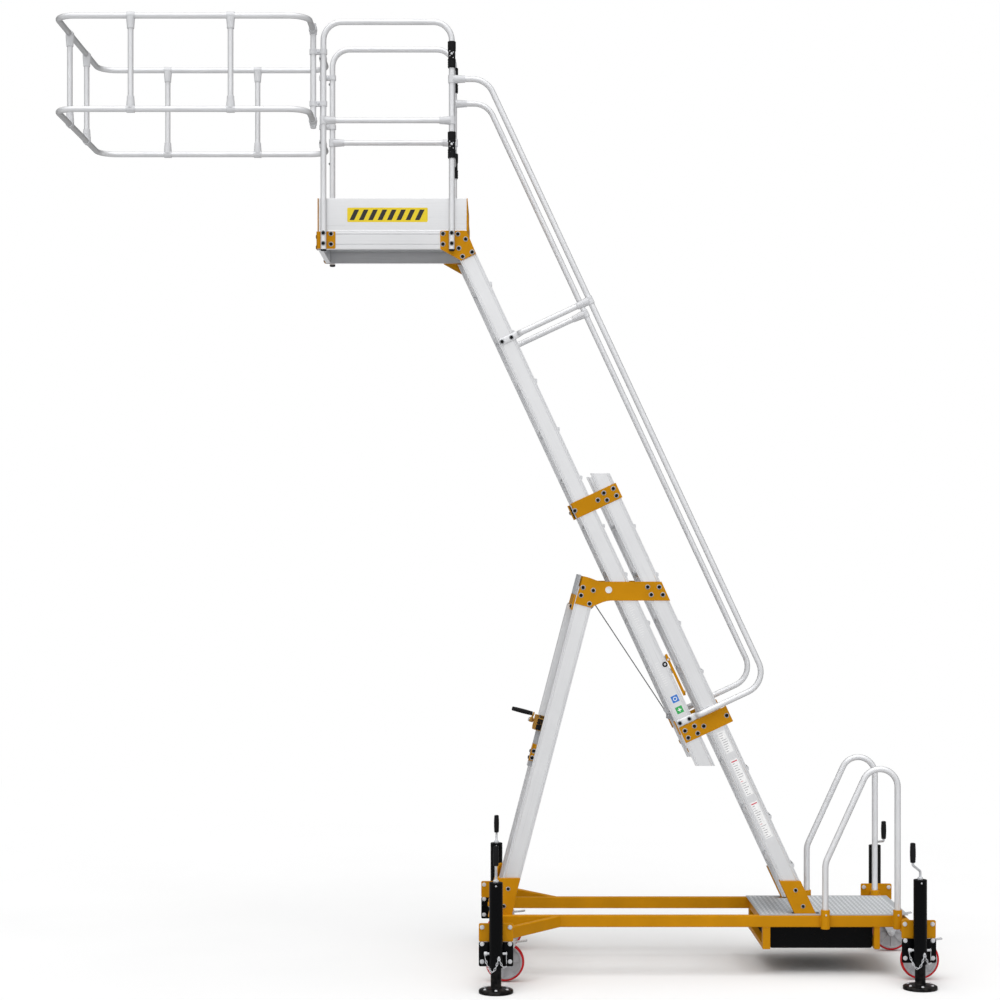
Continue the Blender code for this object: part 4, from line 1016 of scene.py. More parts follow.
def guardrails(label, side):
    y = side * RAIL_Y
    front, rear = POSTS_X
    hoop = [(front, y, POST_FOOT_Z), (front, y, GUARD_TOP_Z), (rear, y, GUARD_TOP_Z), (rear, y, POST_FOOT_Z)]
    slide(f"guard_hoop_{label}", tube(rounded(hoop, 0.095, 12)), "tube", node=f"guardrail_{label}")
    middle = tube([(front + 0.010, y, GUARD_MID_Z), (rear - 0.010, y, GUARD_MID_Z)], TUBE * 0.95)
    slide(f"guard_middle_rail_{label}", middle, "tube")
    tees = tee(tee(new(), (front, y, GUARD_MID_Z), Z, X), (rear, y, GUARD_MID_Z), Z, -X)
    slide(f"guard_tees_{label}", tees, "casting")
    caps, spacers = new(), new()
    for x in POSTS_X:
        end_cap(caps, (x, y, POST_FOOT_Z), -Z)
        for z in POST_BOLTS_Z:
            rod(spacers, (x, y - side * (TUBE - 0.0015), z), (x, side * (PLATFORM_HALF + 0.003), z), 0.0085)
    slide(f"guard_end_caps_{label}", caps, "plastic")
    slide(f"guard_post_spacers_{label}", spacers, "zinc")
    places = [(x, y + side * (TUBE - 0.0005), z) for x in POSTS_X for z in POST_BOLTS_Z]
    bolts(slide, f"guard_post_{label}", places, Y * side)
    places = [(front - TUBE + 0.0005, y, z) for z in (4.771, 4.335)]
    bolts(slide, f"guard_post_front_{label}", places, -X, 0.006)


def flat_end(y, end_y, z):
    """Path and sizes of a tube that runs in from the rail's plane and is pressed flat against the stile."""
    path = [on_ladder(0.0, back, y, z) for back in (0.120, 0.092)]
    sizes = [(TUBE, TUBE)] * 2
    for k in range(1, 7):
        share = k / 6
        eased = share * share * (3 - 2 * share)
        path.append(on_ladder(0.0, 0.092 - 0.034 * share, y + (end_y - y) * eased, z))
        sizes.append((TUBE + 0.003 * eased, TUBE + (0.005 - TUBE) * eased))
    path += [on_ladder(0.0, back, end_y, z) for back in (0.030, -0.0345, -0.0365)]
    return path, sizes + [(0.018, 0.005), (0.018, 0.005), (0.015, 0.004)]


def handrails(label, side):
    foot_z, brace_z = 1.300 + 0.0245 * UP.z, 3.312
    y, end_y = side * RAIL_Y, side * (STILE_OUTER + 0.0056)
    line = rounded([
        (POST_REAR_X + 0.012, y, HANDRAIL_TOP_Z), at_height(HANDRAIL_OFFSET, HANDRAIL_TOP_Z, y),
        on_ladder(0.0, HANDRAIL_OFFSET, y, foot_z), on_ladder(0.0, 0.120, y, foot_z),
    ], 0.115, 12)[:-1]
    end, sizes = flat_end(y, end_y, foot_z)
    shape = tube(line + end, [(TUBE, TUBE)] * len(line) + sizes)
    slide(f"long_handrail_{label}", shape, "tube", node=f"handrail_{label}")
    end, sizes = flat_end(y, end_y, brace_z)
    brace = tube([on_ladder(0.0, HANDRAIL_OFFSET - 0.010, y, brace_z)] + end, [(TUBE, TUBE)] + sizes)
    slide(f"handrail_brace_{label}", brace, "tube")
    bm = tee(new(), (POST_REAR_X, y, HANDRAIL_TOP_Z), Z, X, 0.070)
    tee(bm, on_ladder(0.0, HANDRAIL_OFFSET, y, brace_z), UP, -BACK, 0.074)
    slide(f"handrail_tees_{label}", bm, "casting")
    face = end_y + side * 0.0046
    places = [on_ladder(0.0, back, face, z) for z in (foot_z, brace_z) for back in (0.027, -0.027)]
    bolts(slide, f"handrail_{label}", places, Y * side)


def cage():
    front, rear = CAGE_FRONT_X, CAGE_REAR_X
    for name, z in (("top", CAGE_TOP_Z), ("low", CAGE_LOW_Z)):
        quarter = [(rear, RAIL_Y), (rear, CAGE_Y), (front, CAGE_Y)]
        line = [(x, -y, z) for x, y in quarter] + [(x, y, z) for x, y in quarter[::-1]]
        slide(f"cage_rail_{name}", tube(rounded(line, 0.100, 12)), "tube", node="cage")
    spots = [(x, side * CAGE_Y, X) for x in CAGE_POSTS_X for side in SIDES.values()]
    spots += [(front, side * CAGE_POSTS_Y, Y) for side in SIDES.values()]
    for number, (x, y, way) in enumerate(spots, 1):
        upright = tube([(x, y, CAGE_LOW_Z + 0.010), (x, y, CAGE_TOP_Z - 0.010)], TUBE * 0.95)
        slide(f"cage_upright_{number}", upright, "tube")
        tees = tee(tee(new(), (x, y, CAGE_TOP_Z), way, -Z, 0.066), (x, y, CAGE_LOW_Z), way, Z, 0.066)
        slide(f"cage_tees_{number}", tees, "casting")


def cage_post(label, side):
    """The cage's end post, and the double clamps that hold it to the guard's front post."""
    x, y = CAGE_REAR_X, side * RAIL_Y
    low, top = (x, y, CAGE_LOW_Z - 0.033), (x, y, CAGE_TOP_Z + 0.033)
    slide(f"cage_end_post_{label}", tube([low, top]), "tube")
    tees = tee(tee(new(), (x, y, CAGE_TOP_Z), Z, Y * side, 0.050), (x, y, CAGE_LOW_Z), Z, Y * side, 0.050)
    slide(f"cage_end_tees_{label}", tees, "casting")
    slide(f"cage_end_caps_{label}", end_cap(end_cap(new(), low, -Z), top, Z), "casting")
    for number, z in enumerate(CLAMPS_Z, 1):
        clamp, screws = new(), new()
        for post_x in (x, POST_FRONT_X):
            sleeve(clamp, *ends((post_x, y, z), Z * 0.014), TUBE + 0.0001, TUBE + 0.0048, 0.0015)
        for edge in (-1, 1):
            near, far = y + edge * 0.0045, y + edge * 0.010
            block(clamp, (x + 0.014, near, z - 0.013), (POST_FRONT_X - 0.014, far, z + 0.013))
        for way in (side, -side):
            hex_bolt(screws, ((x + POST_FRONT_X) / 2, y + way * 0.010, z), Y * way, 0.0055, 0.0045)
        slide(f"cage_clamp_{label}_{number}", clamp, "casting", 0.001)
        slide(f"cage_clamp_bolt_{label}_{number}", screws, "zinc")


def gates(label, side):
    """A leaf with two spring hinges; the middle ring of each hinge turns with the leaf."""
    host = partial(piece, f"gate_{label}")
    x, y = POST_REAR_X, side * RAIL_Y
    end, start = side * 0.024, y - side * 0.0175
    high, low = GATE_BARS_Z
    leaf = rounded([(x, start, high), (x, end, high), (x, end, low), (x, start, low)], 0.050, 10)
    host(f"gate_leaf_{label}", sweep(new(), leaf, 0.012, 24), "tube", node=f"gate_{label}")
    rings, fixed, studs = new(), new(), new()
    for z in GATE_BARS_Z:
        spring = [(0.0165, -0.0295), (0.0205, -0.0295), (0.0215, -0.028), (0.0215, -0.0225)]
        for i in range(6):
            height = 0.0068 * i
            spring += [(0.0182, height - 0.0215), (0.0182, height - 0.019)]
            spring += [(0.0196, height - 0.0175), (0.0196, height - 0.016)]
        spring += [(0.0215, 0.0235), (0.0215, 0.028), (0.0205, 0.0295), (0.0165, 0.0295)]
        lathe(rings, spring, (x, y, z), Z, 32, ring=True)
        sleeve(rings, (x, y - side * 0.016, z), (x, y - side * 0.037, z), 0.0118, 0.015, 0.0015)
        sleeve(fixed, (x, y, z + 0.0305), (x, y, z + 0.070), TUBE + 0.0001, 0.0213, 0.0018)
        foot, head = z - 0.067, z - 0.0305
        teeth = [(TUBE + 0.0001, foot), (0.020, foot)]
        for i in range(7):
            teeth.append((0.0214 if i % 2 else 0.0202, foot + 0.003 + (head - foot - 0.006) * i / 6))
        lathe(fixed, teeth + [(0.020, head), (TUBE + 0.0001, head)], (x, y, 0.0), Z, 32, ring=True)
        rod(studs, (x, y + side * 0.0175, z + 0.004), (x, y + side * 0.0232, z + 0.004), 0.0062, 0.0015)
        for lean, offset in ((-0.010, 0.018), (0.009, 0.012), (-0.009, -0.008), (0.008, -0.017)):
            foot = Vector((x + lean, y + side * 0.015, z + offset))
            rod(studs, foot, foot + Y * side * 0.0048, 0.0026)
    host(f"gate_hinge_rings_{label}", rings, "plastic")
    host(f"gate_hinge_studs_{label}", studs, "zinc")
    slide(f"gate_hinge_collars_{label}", fixed, "plastic")


# ---- base ----------------------------------------------------------------------------------


def chassis():
    low, top = RAIL_LOW_Z, RAIL_TOP_Z
    beads = new()
    for label, side in SIDES.items():
        start, end = (FRONT_JACK_X - 0.018, side * RAIL_INNER_Y, low), (RAIL_REAR_X, side * RAIL_OUTER_Y, top)
        base(f"base_rail_{label}", block(new(), start, end), "amber", 0.0045, 3, "chassis_frame")
        start = Vector((0.345, side * 0.288, (low + top) / 2))
        end = Vector((0.050, side * (JACKS["front"].y - 0.045), start.z))
        across = (end - start).normalized().cross(Z)
        arm = beam(new(), start, end, across, Z, 0.034, top - low - 0.002)
        base(f"splay_arm_{label}", arm, "amber", 0.004, 3)
        for where, at in JACKS.items():
            outer = side * (at.y - 0.037)
            outline = oblong(at.x - PLATE_HALF, 0.248, at.x + PLATE_HALF, 0.340)
            shape = plate(new(), outline, outer, outer - side * 0.010, 0.008)
            base(f"corner_plate_{where}_{label}", shape, "amber", 0.0012)
            inner = outer - side * 0.011
            for z in (low + 0.001, top - 0.001):
                weld(beads, (at.x - 0.020, inner, z), (at.x + 0.020, inner, z), 0.004)
            centre = Vector((at.x, side * CASTORS_Y[where], 0.2415))
            half = Vector((0.048, 0.040, 0.0))
            shape = block(new(), centre - half, centre + half + Z * (low - 0.242))
            base(f"castor_plate_{where}_{label}", shape, "amber", 0.0014)
            screws = new()
            for a in (-1, 1):
                for b in (-1, 1):
                    hex_bolt(screws, centre + Vector((a * 0.038, b * 0.031, 0.0)), -Z, 0.0055, 0.005)
            base(f"castor_plate_bolts_{where}_{label}", screws, "zinc")
        for where, x in ENTRY_X.items():
            at = Vector((x, side * ENTRY_Y, 0.0))
            socket = sleeve(new(), at + Z * 0.248, at + Z * 0.347, 0.0174, 0.0235, 0.002)
            base(f"entry_socket_{where}_{label}", socket, "amber")
            screw = button_bolt(new(), at + Vector((0.0, side * 0.0232, 0.322)), Y * side, 0.005)
            base(f"entry_socket_screw_{where}_{label}", screw, "zinc")
            y = side * RAIL_OUTER_Y
            for edge in (x - 0.022, x + 0.022):
                weld(beads, (edge, y, low + 0.004), (edge, y, top - 0.004))
        for number, (x, half) in enumerate(CRADLES, 1):
            edge = side * (RAIL_OUTER_Y - 0.001)
            shape = block(new(), (x - half, side * RAIL_INNER_Y, 0.139), (x + half, edge, low - 0.0002))
            base(f"cradle_post_{number}_{label}", shape, "amber", 0.003, 3)
            weld(beads, (x - half, edge, low), (x + half, edge, low), 0.003)
    front = (FRONT_JACK_X - 0.020, FRONT_JACK_X + 0.020)
    for name, span, level, welded in (
        ("front", front, top - 0.0006, front),
        ("rear", REAR_MEMBER_X, REAR_MEMBER_TOP_Z, REAR_MEMBER_X[:1]),
    ):
        reach = JACKS[name].y - 0.047
        shape = block(new(), (span[0], -reach, low + 0.0004), (span[1], reach, level))
        base(f"{name}_cross_member", shape, "amber", 0.0045, 3)
        for side in SIDES.values():
            for x in welded:
                weld(beads, (x, side * RAIL_INNER_Y, low + 0.004), (x, side * RAIL_INNER_Y, level - 0.004))
    for number, (x, half) in enumerate(CRADLES, 1):
        shape = block(new(), (x - half, -0.272, low + 0.0004), (x + half, 0.272, top - 0.0006))
        base(f"deck_bearer_{number}", shape, "amber", 0.003, 3)
        y = RAIL_OUTER_Y - 0.004
        shape = block(new(), (x - half + 0.001, -y, 0.1395), (x + half - 0.001, y, 0.164))
        base(f"cradle_bar_{number}", shape, "amber", 0.003, 3)
    base("weld_beads", beads, "amber")


def foot_brackets(label, side):
    """Folded brackets at the feet of the prop and of the ladder."""
    near, far, fold = (side * (STILE_OUTER + offset) for offset in (0.0003, 0.0113, 0.0105))
    front = SECTION_OFFSET - STILE_HALF

    def ladder_side(back):
        spots = ((-0.0055, 0.488), (back, 0.488), (back, 0.300), (-0.0055, 0.300))
        return [at_height(front + offset, z).xz for offset, z in spots]

    prop_side_plate = [(0.022, 0.503), (0.139, 0.503), (0.120, 0.428), (0.093, 0.300), (-0.029, 0.300)]
    prop_fold = [(0.021, 0.503), (0.029, 0.503), (-0.021, 0.300), (-0.031, 0.300)]
    for name, outline, y_from, y_to, radius, edge in (
        ("prop_foot_plate", prop_side_plate, near, far, 0.004, 0.0015),
        ("prop_foot_fold", prop_fold, side * 0.2, fold, 0.001, 0.0012),
        ("ladder_foot_plate", ladder_side(0.095), near, far, 0.004, 0.0015),
        ("ladder_foot_fold", ladder_side(-0.0005), side * 0.225, fold, 0.001, 0.0012),
    ):
        base(f"{name}_{label}", plate(new(), outline, y_from, y_to, radius), "amber", edge)
    spots = ((0.0745, 0.447), (0.0520, 0.357), (1.5735, 0.4398), (1.6125, 0.3562))
    bolts(base, f"foot_bracket_{label}", [(x, far, z) for x, z in spots], Y * side, 0.008)


def deck(pitch=0.0245, around=10):
    """Tread plate: rows of raised lozenges that lean one way and the other by turns."""
    front, rear = DECK_X
    low, top = SHEET_LOW_Z, SHEET_TOP_Z
    holes = new()
    for side in SIDES.values():
        block(holes, (1.555, side * 0.222, low - 0.01), (1.700, side * 0.274, top + 0.01))
        for x in ENTRY_X.values():
            lathe(holes, closed([(0.0245, 0.0), (0.0245, 0.03)]), (x, side * ENTRY_Y, low - 0.01), Z, 32)
    sheet = block(new(), (front, -DECK_HALF, low), (rear, DECK_HALF, top))
    base("deck_sheet", sheet, "checker", 0.0006, 1, "checker_deck", holes)
    bm = new()
    for i in range(int((rear - front - 0.02) / pitch)):
        for k in range(int((2 * DECK_HALF - 0.02) / pitch)):
            x, y = front + 0.020 + pitch * i, -DECK_HALF + 0.020 + pitch * k
            in_slot = 1.542 < x < 1.713 and 0.209 < abs(y) < 0.287
            in_socket = min(abs(x - at) for at in ENTRY_X.values()) < 0.037 and abs(y) > ENTRY_Y - 0.040
            if in_slot or in_socket:
                continue
            lean = math.radians(45 if (i + k) % 2 else -45)
            along = Vector((math.cos(lean), math.sin(lean), 0.0))
            across = Vector((-along.y, along.x, 0.0))
            centre = Vector((x, y, top - 0.0001))
            foot, crest = [], []
            wide = ring_of(around, along * 0.0115, across * 0.0034)
            narrow = ring_of(around, along * 0.0075, across * 0.0018)
            for low_offset, high_offset in zip(wide, narrow):
                foot.append(bm.verts.new(centre + low_offset))
                crest.append(bm.verts.new(centre + Z * 0.0012 + high_offset))
            for step in range(around):
                after = (step + 1) % around
                bm.faces.new((foot[step], foot[after], crest[after], crest[step]))
            bm.faces.new(crest)
            bm.faces.new(foot[::-1])
    base("deck_tread_pattern", bm, "tread")


def counterweight():
    low, high = (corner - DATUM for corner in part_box("counterweight"))
    shape = plate(new(), oblong(low.x, high.z, high.x, low.z), low.y, high.y, 0.012)
    base("counterweight_box", shape, "black", 0.0025, node="counterweight")


def entry_handrails(label, side, bend=0.092, steps=18):
    """A hoop whose front leg leans back above its knee."""
    y = side * ENTRY_Y
    front, rear = ENTRY_X.values()
    lean = math.atan2(0.170, 0.370)
    centre = Vector((rear - bend, y, 0.985))
    angles = [lean + (math.pi - lean) * i / steps for i in range(steps + 1)]
    top = [centre + Vector((-math.cos(angle), 0.0, math.sin(angle))) * bend for angle in angles]
    leg = rounded([(front, y, ENTRY_FOOT_Z), (front, y, 0.588), top[0]], 0.120, 6)
    hoop = tube(leg[:-1] + top + [(rear, y, ENTRY_FOOT_Z)], 0.016)
    base(f"entry_hoop_{label}", hoop, "tube", node=f"entry_handrail_{label}")


# ---- jacks ---------------------------------------------------------------------------------


def jack_body(name, centre, side):
    """Tube, plate, bolts and welds."""
    out, x, y = Y * side, centre.x, centre.y
    profile = [(0.0279, 0.126), (JACK_TUBE, 0.126), (JACK_TUBE, 0.5495), (JACK_TUBE - 0.0015, 0.5515),
               (0.0095, 0.552), (0.0095, 0.543), (0.0279, 0.542)]
    shape = lathe(new(), profile, centre, Z, 48, ring=True)
    pin_hole = rod(new(), *ends(centre + Z * PIN_Z, X * 0.05), 0.0068)
    base(f"jack_tube_{name}", shape, "black", node=f"jack_body_{name}", holes=pin_hole)
    outline = oblong(x - PLATE_HALF, 0.126, x + PLATE_HALF, 0.2475)
    shape = plate(new(), outline, y - side * 0.0365, y - side * 0.0265, 0.008)
    hollow = lathe(new(), closed([(0.030, 0.12), (0.030, 0.26)]), centre, Z, 48)
    base(f"jack_plate_{name}", shape, "black", 0.0012, holes=hollow)
    screws, beads = new(), new()
    for sign in (-1, 1):
        for offset, z in ((0.037, 0.320), (0.0265, 0.2385), (0.0265, 0.150)):
            hex_bolt(screws, (x + sign * 0.070, y - side * offset, z), out, 0.0085)
        for z in (0.320, 0.2385, 0.150):
            hex_bolt(screws, (x + sign * 0.070, y - side * 0.0475, z), -out, 0.0085)
        start = Vector((x + sign * 0.0245, y - side * 0.0255, 0.130))
        weld(beads, start, start + Z * 0.114, 0.003)
    button_bolt(screws, centre - Y * (JACK_TUBE - 0.0003) + Z * 0.537, -Y, 0.0045)
    base(f"jack_bolts_{name}", screws, "zinc")
    base(f"jack_welds_{name}", beads, "black")


def jack_foot(name, centre):
    host = partial(piece, f"jack_foot_{name}")
    pad = [(0.0845, 0.0), (0.0865, 0.002), (0.0865, 0.013), (0.085, 0.0155), (0.079, 0.0185), (0.040, 0.025),
           (0.031, 0.0255), (0.0285, 0.030), (0.0262, 0.030)]
    host(f"foot_pad_{name}", lathe(new(), closed(pad), centre, Z, 64), "black", node=f"jack_foot_{name}")
    wall = [(0.010, 0.028), (0.0268, 0.028), (0.0268, 0.4395), (0.010, 0.4395)]
    pin_slot = block(new(), centre + Vector((-0.05, -0.0066, 0.126)), centre + Vector((0.05, 0.0066, 0.304)))
    host(f"jack_ram_{name}", lathe(new(), wall, centre, Z, 48, ring=True), "black", holes=pin_slot)
    screws = new()
    for offset in ring_of(6, X, Y, 0.064, math.pi / 2):
        hex_bolt(screws, centre + offset + Z * 0.0206, Z, 0.0055, 0.004)
    host(f"foot_bolts_{name}", screws, "zinc")


def jack_crank(name, centre, lean, way, grip_z, turns=46):
    """Crank, grip and screw."""
    host = partial(piece, f"jack_crank_{name}")
    top = centre + Vector((lean, way * math.sqrt(CRANK**2 - lean**2), grip_z))
    knee = centre + Z * (0.540 + grip_z) / 2
    line = rounded([centre + Z * 0.556, knee, top - Z * 0.012, top + Z * 0.060], 0.0085, 5)
    collar = closed([(0.014, 0.553), (0.014, 0.560), (0.011, 0.564)])
    shape = lathe(sweep(new(), line, 0.0064, 20), collar, centre, Z, 32)
    host(f"crank_arm_{name}", shape, "zinc", node=f"jack_crank_{name}")
    host(f"crank_grip_{name}", grip(new(), top + Z * 0.001, Z, GRIP - 0.001, 0.015), "plastic")
    thread = [(0.0062, 0.310)]
    for i in range(turns):
        height = 0.312 + 0.005 * i
        thread += [(0.0064, height), (0.0079, height + 0.0018)]
        thread += [(0.0079, height + 0.003), (0.0064, height + 0.0046)]
    thread += [(0.0074, 0.5455), (0.0074, 0.556)]
    host(f"jack_screw_{name}", lathe(new(), closed(thread), centre, Z, 16), "zinc")


def link(bm, at, way, flat, length=0.019, width=0.011, wire=0.0015):
    """One chain link, long along its way and flat across the other direction."""
    way = way.normalized()
    flat = (flat - way * flat.dot(way)).normalized()
    radius = width / 2 - wire
    straight = length / 2 - wire - radius
    path = []
    for end in (1, -1):
        for k in range(5):
            angle = math.pi * k / 4
            along = way * end * (straight + radius * math.sin(angle))
            path.append(at + along + flat * end * radius * math.cos(angle))
    sweep(bm, path, wire, 8, loop=True)


def chain(start, end, sag, outward, pitch=0.014, count=60):
    """Links along a line that hangs between two points."""
    bm = new()
    points = []
    for i in range(count + 1):
        share = i / count
        arch = 4 * share * (1 - share)
        points.append(start.lerp(end, share) - Z * sag * arch + outward * arch)
    walked, goal, number = 0.0, pitch / 2, 0
    for a, b in zip(points, points[1:]):
        way = b - a
        while walked + way.length >= goal:
            flat = Y if number % 2 else way.cross(Y).normalized()
            link(bm, a.lerp(b, (goal - walked) / way.length), way, flat)
            number += 1
            goal += pitch
        walked += way.length
    return bm


def lock_pin(name, centre, side):
    """The pin with its ring, its retaining clip, and the two chains."""
    body, out = f"lock_pin_{name}", Y * side
    at = centre + Z * PIN_Z
    bm = lathe(new(), closed([(0.0045, -0.056), (0.006, -0.0535), (0.006, 0.046)]), at, -X)
    lathe(bm, closed([(0.009, 0.044), (0.010, 0.046), (0.010, 0.057), (0.0085, 0.060)]), at, -X, 32)
    eye = at - X * 0.055 - Z * 0.0115
    sweep(bm, [eye + offset for offset in ring_of(20, Y, Z, 0.0085)], 0.0013, 8, loop=True)
    piece(body, f"pin_shank_{name}", bm, "zinc", node=body)

    anchor = centre + Vector((0.0144, side * 0.0395, 0.183))
    head = at - X * 0.055 - Z * 0.019
    item = solid(f"pin_chain_{name}", chain(anchor, head, 0.070, out * 0.016))
    dress(item, "zinc", None)
    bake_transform(item)
    clip_at = at + X * 0.052
    shape = chain(anchor, clip_at + Vector((0.0, side * 0.008, -0.060)), 0.022, out * 0.010)
    base(f"clip_chain_{name}", shape, "zinc")
    rivet = closed([(0.0045, -0.0045), (0.0055, 0.0), (0.0045, 0.0045)])
    bm = lathe(new(), rivet, anchor - out * 0.001, out, 20)
    angles = [math.radians(-40 + 260 * k / 12) for k in range(13)]
    clip = [clip_at + (Y * math.cos(angle) + Z * math.sin(angle)) * 0.0085 for angle in angles]
    clip += [clip_at + Vector((0.0, side * 0.004, -0.024)), clip_at + Vector((0.0, side * 0.010, -0.050))]
    base(f"retaining_clip_{name}", sweep(bm, clip, 0.0014, 8), "zinc")


def jack(where, label, side):
    name = f"{where}_{label}"
    centre = Vector((JACKS[where].x, side * JACKS[where].y, 0.0))
    lean, way = (0.0, side) if where == "front" else (REAR_CRANK_LEAN[label], -1)
    jack_body(name, centre, side)
    jack_foot(name, centre)
    jack_crank(name, centre, lean, way, GRIP_Z[label])
    lock_pin(name, centre, side)


# ---- castors -------------------------------------------------------------------------------


def castor_fork(name, swivel, axle, pivot):
    body = f"castor_fork_{name}"
    host = partial(piece, body)
    x, y = swivel.xy
    outline = [(x - 0.028, 0.232), (x - 0.030, 0.200)]
    for k in range(5):
        angle = math.radians(205 + 32 * k)
        outline.append((axle.x + 0.018 * math.cos(angle), axle.z + 0.018 * math.sin(angle)))
    outline += [(x + 0.082, 0.165), (x + 0.100, 0.190), (x + 0.100, 0.212), (x + 0.034, 0.232)]
    bores = rod(rod(new(), *ends(axle, Y * 0.05), 0.0067), *ends(pivot, Y * 0.05), 0.0043)
    cheeks, nuts = new(), new()
    for edge in (-1, 1):
        plate(cheeks, outline, y + edge * 0.024, y + edge * 0.0285, 0.003)
        hex_bolt(nuts, axle + Y * edge * 0.0286, Y * edge, 0.0085)
    host(f"fork_cheeks_{name}", cheeks, "zinc", 0.001, node=body, holes=bores)
    host(f"axle_nuts_{name}", nuts, "zinc")
    crown = block(new(), (x - 0.028, y - 0.0285, 0.210), (x + 0.034, y + 0.0285, 0.230))
    host(f"fork_crown_{name}", crown, "zinc", 0.0045, 3)
    race = [(0.026, 0.226), (0.030, 0.229), (0.030, 0.232), (0.0282, 0.2335), (0.030, 0.235), (0.030, 0.239),
            (0.028, 0.241)]
    host(f"swivel_bearing_{name}", lathe(new(), closed(race), swivel, Z, 40), "zinc")


def castor_wheel(name, axle, spokes=8):
    body = f"castor_wheel_{name}"
    host = partial(piece, body)
    tread = mirrored([(0.0885, -0.015), (0.093, -0.0168), (0.0968, -0.015), (0.099, -0.010), (0.100, -0.004)])
    host(f"tyre_{name}", lathe(new(), tread, axle, Y, 72, ring=True), "tyre", node=body)
    disc = mirrored([(0.0068, -0.022), (0.018, -0.022), (0.0195, -0.0205), (0.0205, -0.012), (0.024, -0.010),
                     (0.074, -0.010), (0.0775, -0.012), (0.079, -0.017), (0.0845, -0.018), (0.0884, -0.0155)])
    bm = lathe(new(), disc, axle, Y, 72, ring=True)
    for way in ring_of(spokes, X, Z):
        beam(bm, axle + way * 0.0195, axle + way * 0.0785, way.cross(Y), Y, 0.0045, 0.030)
    host(f"wheel_centre_{name}", bm, "wheel", 0.0006, 1)
    bm = rod(new(), *ends(axle, Y * 0.0238), 0.0062)
    for edge in (-1, 1):
        sleeve(bm, axle + Y * edge * 0.0222, axle + Y * edge * 0.0236, 0.0064, 0.012)
    host(f"wheel_axle_{name}", bm, "zinc")


def castor_brake(name, y, pivot, count=8, ribs=5):
    """A pedal that curves up towards its end, with ribs across it."""
    body = f"castor_brake_{name}"
    host = partial(piece, body)
    start, length = pivot.x - 0.002, 0.072

    def top(share):
        return pivot.z + 0.003 + 0.007 * share * share

    shares = [i / count for i in range(count + 1)]
    outline = [(start + length * share, top(share)) for share in shares]
    outline += [(start + length * share, top(share) - 0.0035) for share in shares[::-1]]
    pedal = prism(new(), [(x, y - 0.021, z) for x, z in outline], Y * 0.042)
    host(f"brake_pedal_{name}", pedal, "galvanised", 0.0008, node=body)
    bm = new()
    for i in range(ribs):
        offset = 0.028 + 0.0085 * i
        x, z = start + offset, top(offset / length)
        block(bm, (x, y - 0.017, z - 0.001), (x + 0.004, y + 0.017, z + 0.0014))
    host(f"brake_pedal_ribs_{name}", rod(bm, *ends(pivot, Y * 0.0325), 0.004), "zinc", 0.0006, 1)


def castor(where, label, side):
    name = f"{where}_{label}"
    swivel = Vector((JACKS[where].x, side * CASTORS_Y[where], 0.0))
    axle = swivel + Vector((TRAIL, 0.0, WHEEL_Z))
    pivot = joint_place(f"brake_press_{name}")
    castor_fork(name, swivel, axle, pivot)
    castor_wheel(name, axle)
    castor_brake(name, swivel.y, pivot)


# ---- labels --------------------------------------------------------------------------------


def square_labels(face):
    for name, (x, z) in (("blue", (0.9459, 1.4370)), ("green", (0.9694, 1.3800))):
        along, back = ladder_from(x, z)
        centre = on_ladder(along, back, face - 0.00015)
        shape = beam(new(), *ends(centre, UP * 0.0185), BACK, Y, 0.037, 0.0003)
        slide(f"label_{name}", shape, f"{name}_film", 0.0001, 1)
        spot = on_ladder(along, back, face - 0.0003)
        if name == "blue":
            mark = sleeve(new(), spot, spot - Y * 0.0002, 0.007, 0.0105, 0.00005)
        else:
            mark = beam(new(), *ends(spot, UP * 0.010), BACK, Y, 0.005, 0.0004)
            beam(mark, *ends(spot, BACK * 0.010), UP, Y, 0.005, 0.0005)
        slide(f"label_{name}_mark", mark, "white_film")


def strip_label(chooser, host, name, face, x, z, length, heading):
    """Short bars down a stile, as long as chance has it, on a white film where the stile is fixed."""
    fixed = host is base
    centre = on_ladder(ladder_from(x, z)[0], SECTION_OFFSET if fixed else 0.0, face)
    if fixed:
        film_shape = beam(new(), *ends(centre, UP * length / 2), BACK, Y, 0.040, 0.0006)
        host(f"label_{name}", film_shape, "white_film")
    bars, red_bars = new(), new()
    rows = int(length / 0.0125)
    for i in range(rows):
        width = chooser.uniform(0.010, 0.030)
        spot = centre + UP * (length / 2 - 0.010 - 0.0125 * i) - Y * 0.0004
        start = spot - BACK * 0.016
        if heading and i == 0:
            beam(red_bars, start, spot + BACK * 0.016, UP, Y, 0.006, 0.0004)
        else:
            red = heading and i == rows // 2 + 1
            beam(red_bars if red else bars, start, start + BACK * width, UP, Y, 0.0026, 0.0004)
    host(f"label_{name}_bars", bars, "grey_film" if fixed else "white_film")
    if heading:
        host(f"label_{name}_red_bars", red_bars, "red_film")
    else:
        red_bars.free()


def caution_band(label, side, stripes=8, slant=0.026):
    """Plain stripes on a toe board."""
    left, right, low, high = -0.765, -0.345, 3.925, 4.000
    face = side * (TOE_HALF - 0.0012)
    band = plate(new(), oblong(left, low, right, high), face, face + side * 0.0004, 0.006)
    slide(f"caution_band_{label}", band, "yellow_film")
    pitch = (right - left - 0.030) / stripes
    wide = pitch * 0.5
    bm = new()
    for i in range(stripes):
        start = left + 0.012 + pitch * i
        if start + wide + slant > right - 0.004:
            continue
        outline = [(start, low + 0.010), (start + wide, low + 0.010), (start + wide + slant, high - 0.010),
                   (start + slant, high - 0.010)]
        plate(bm, outline, face + side * 0.0003, face + side * 0.0006, 0)
    slide(f"caution_stripes_{label}", bm, "black_film")


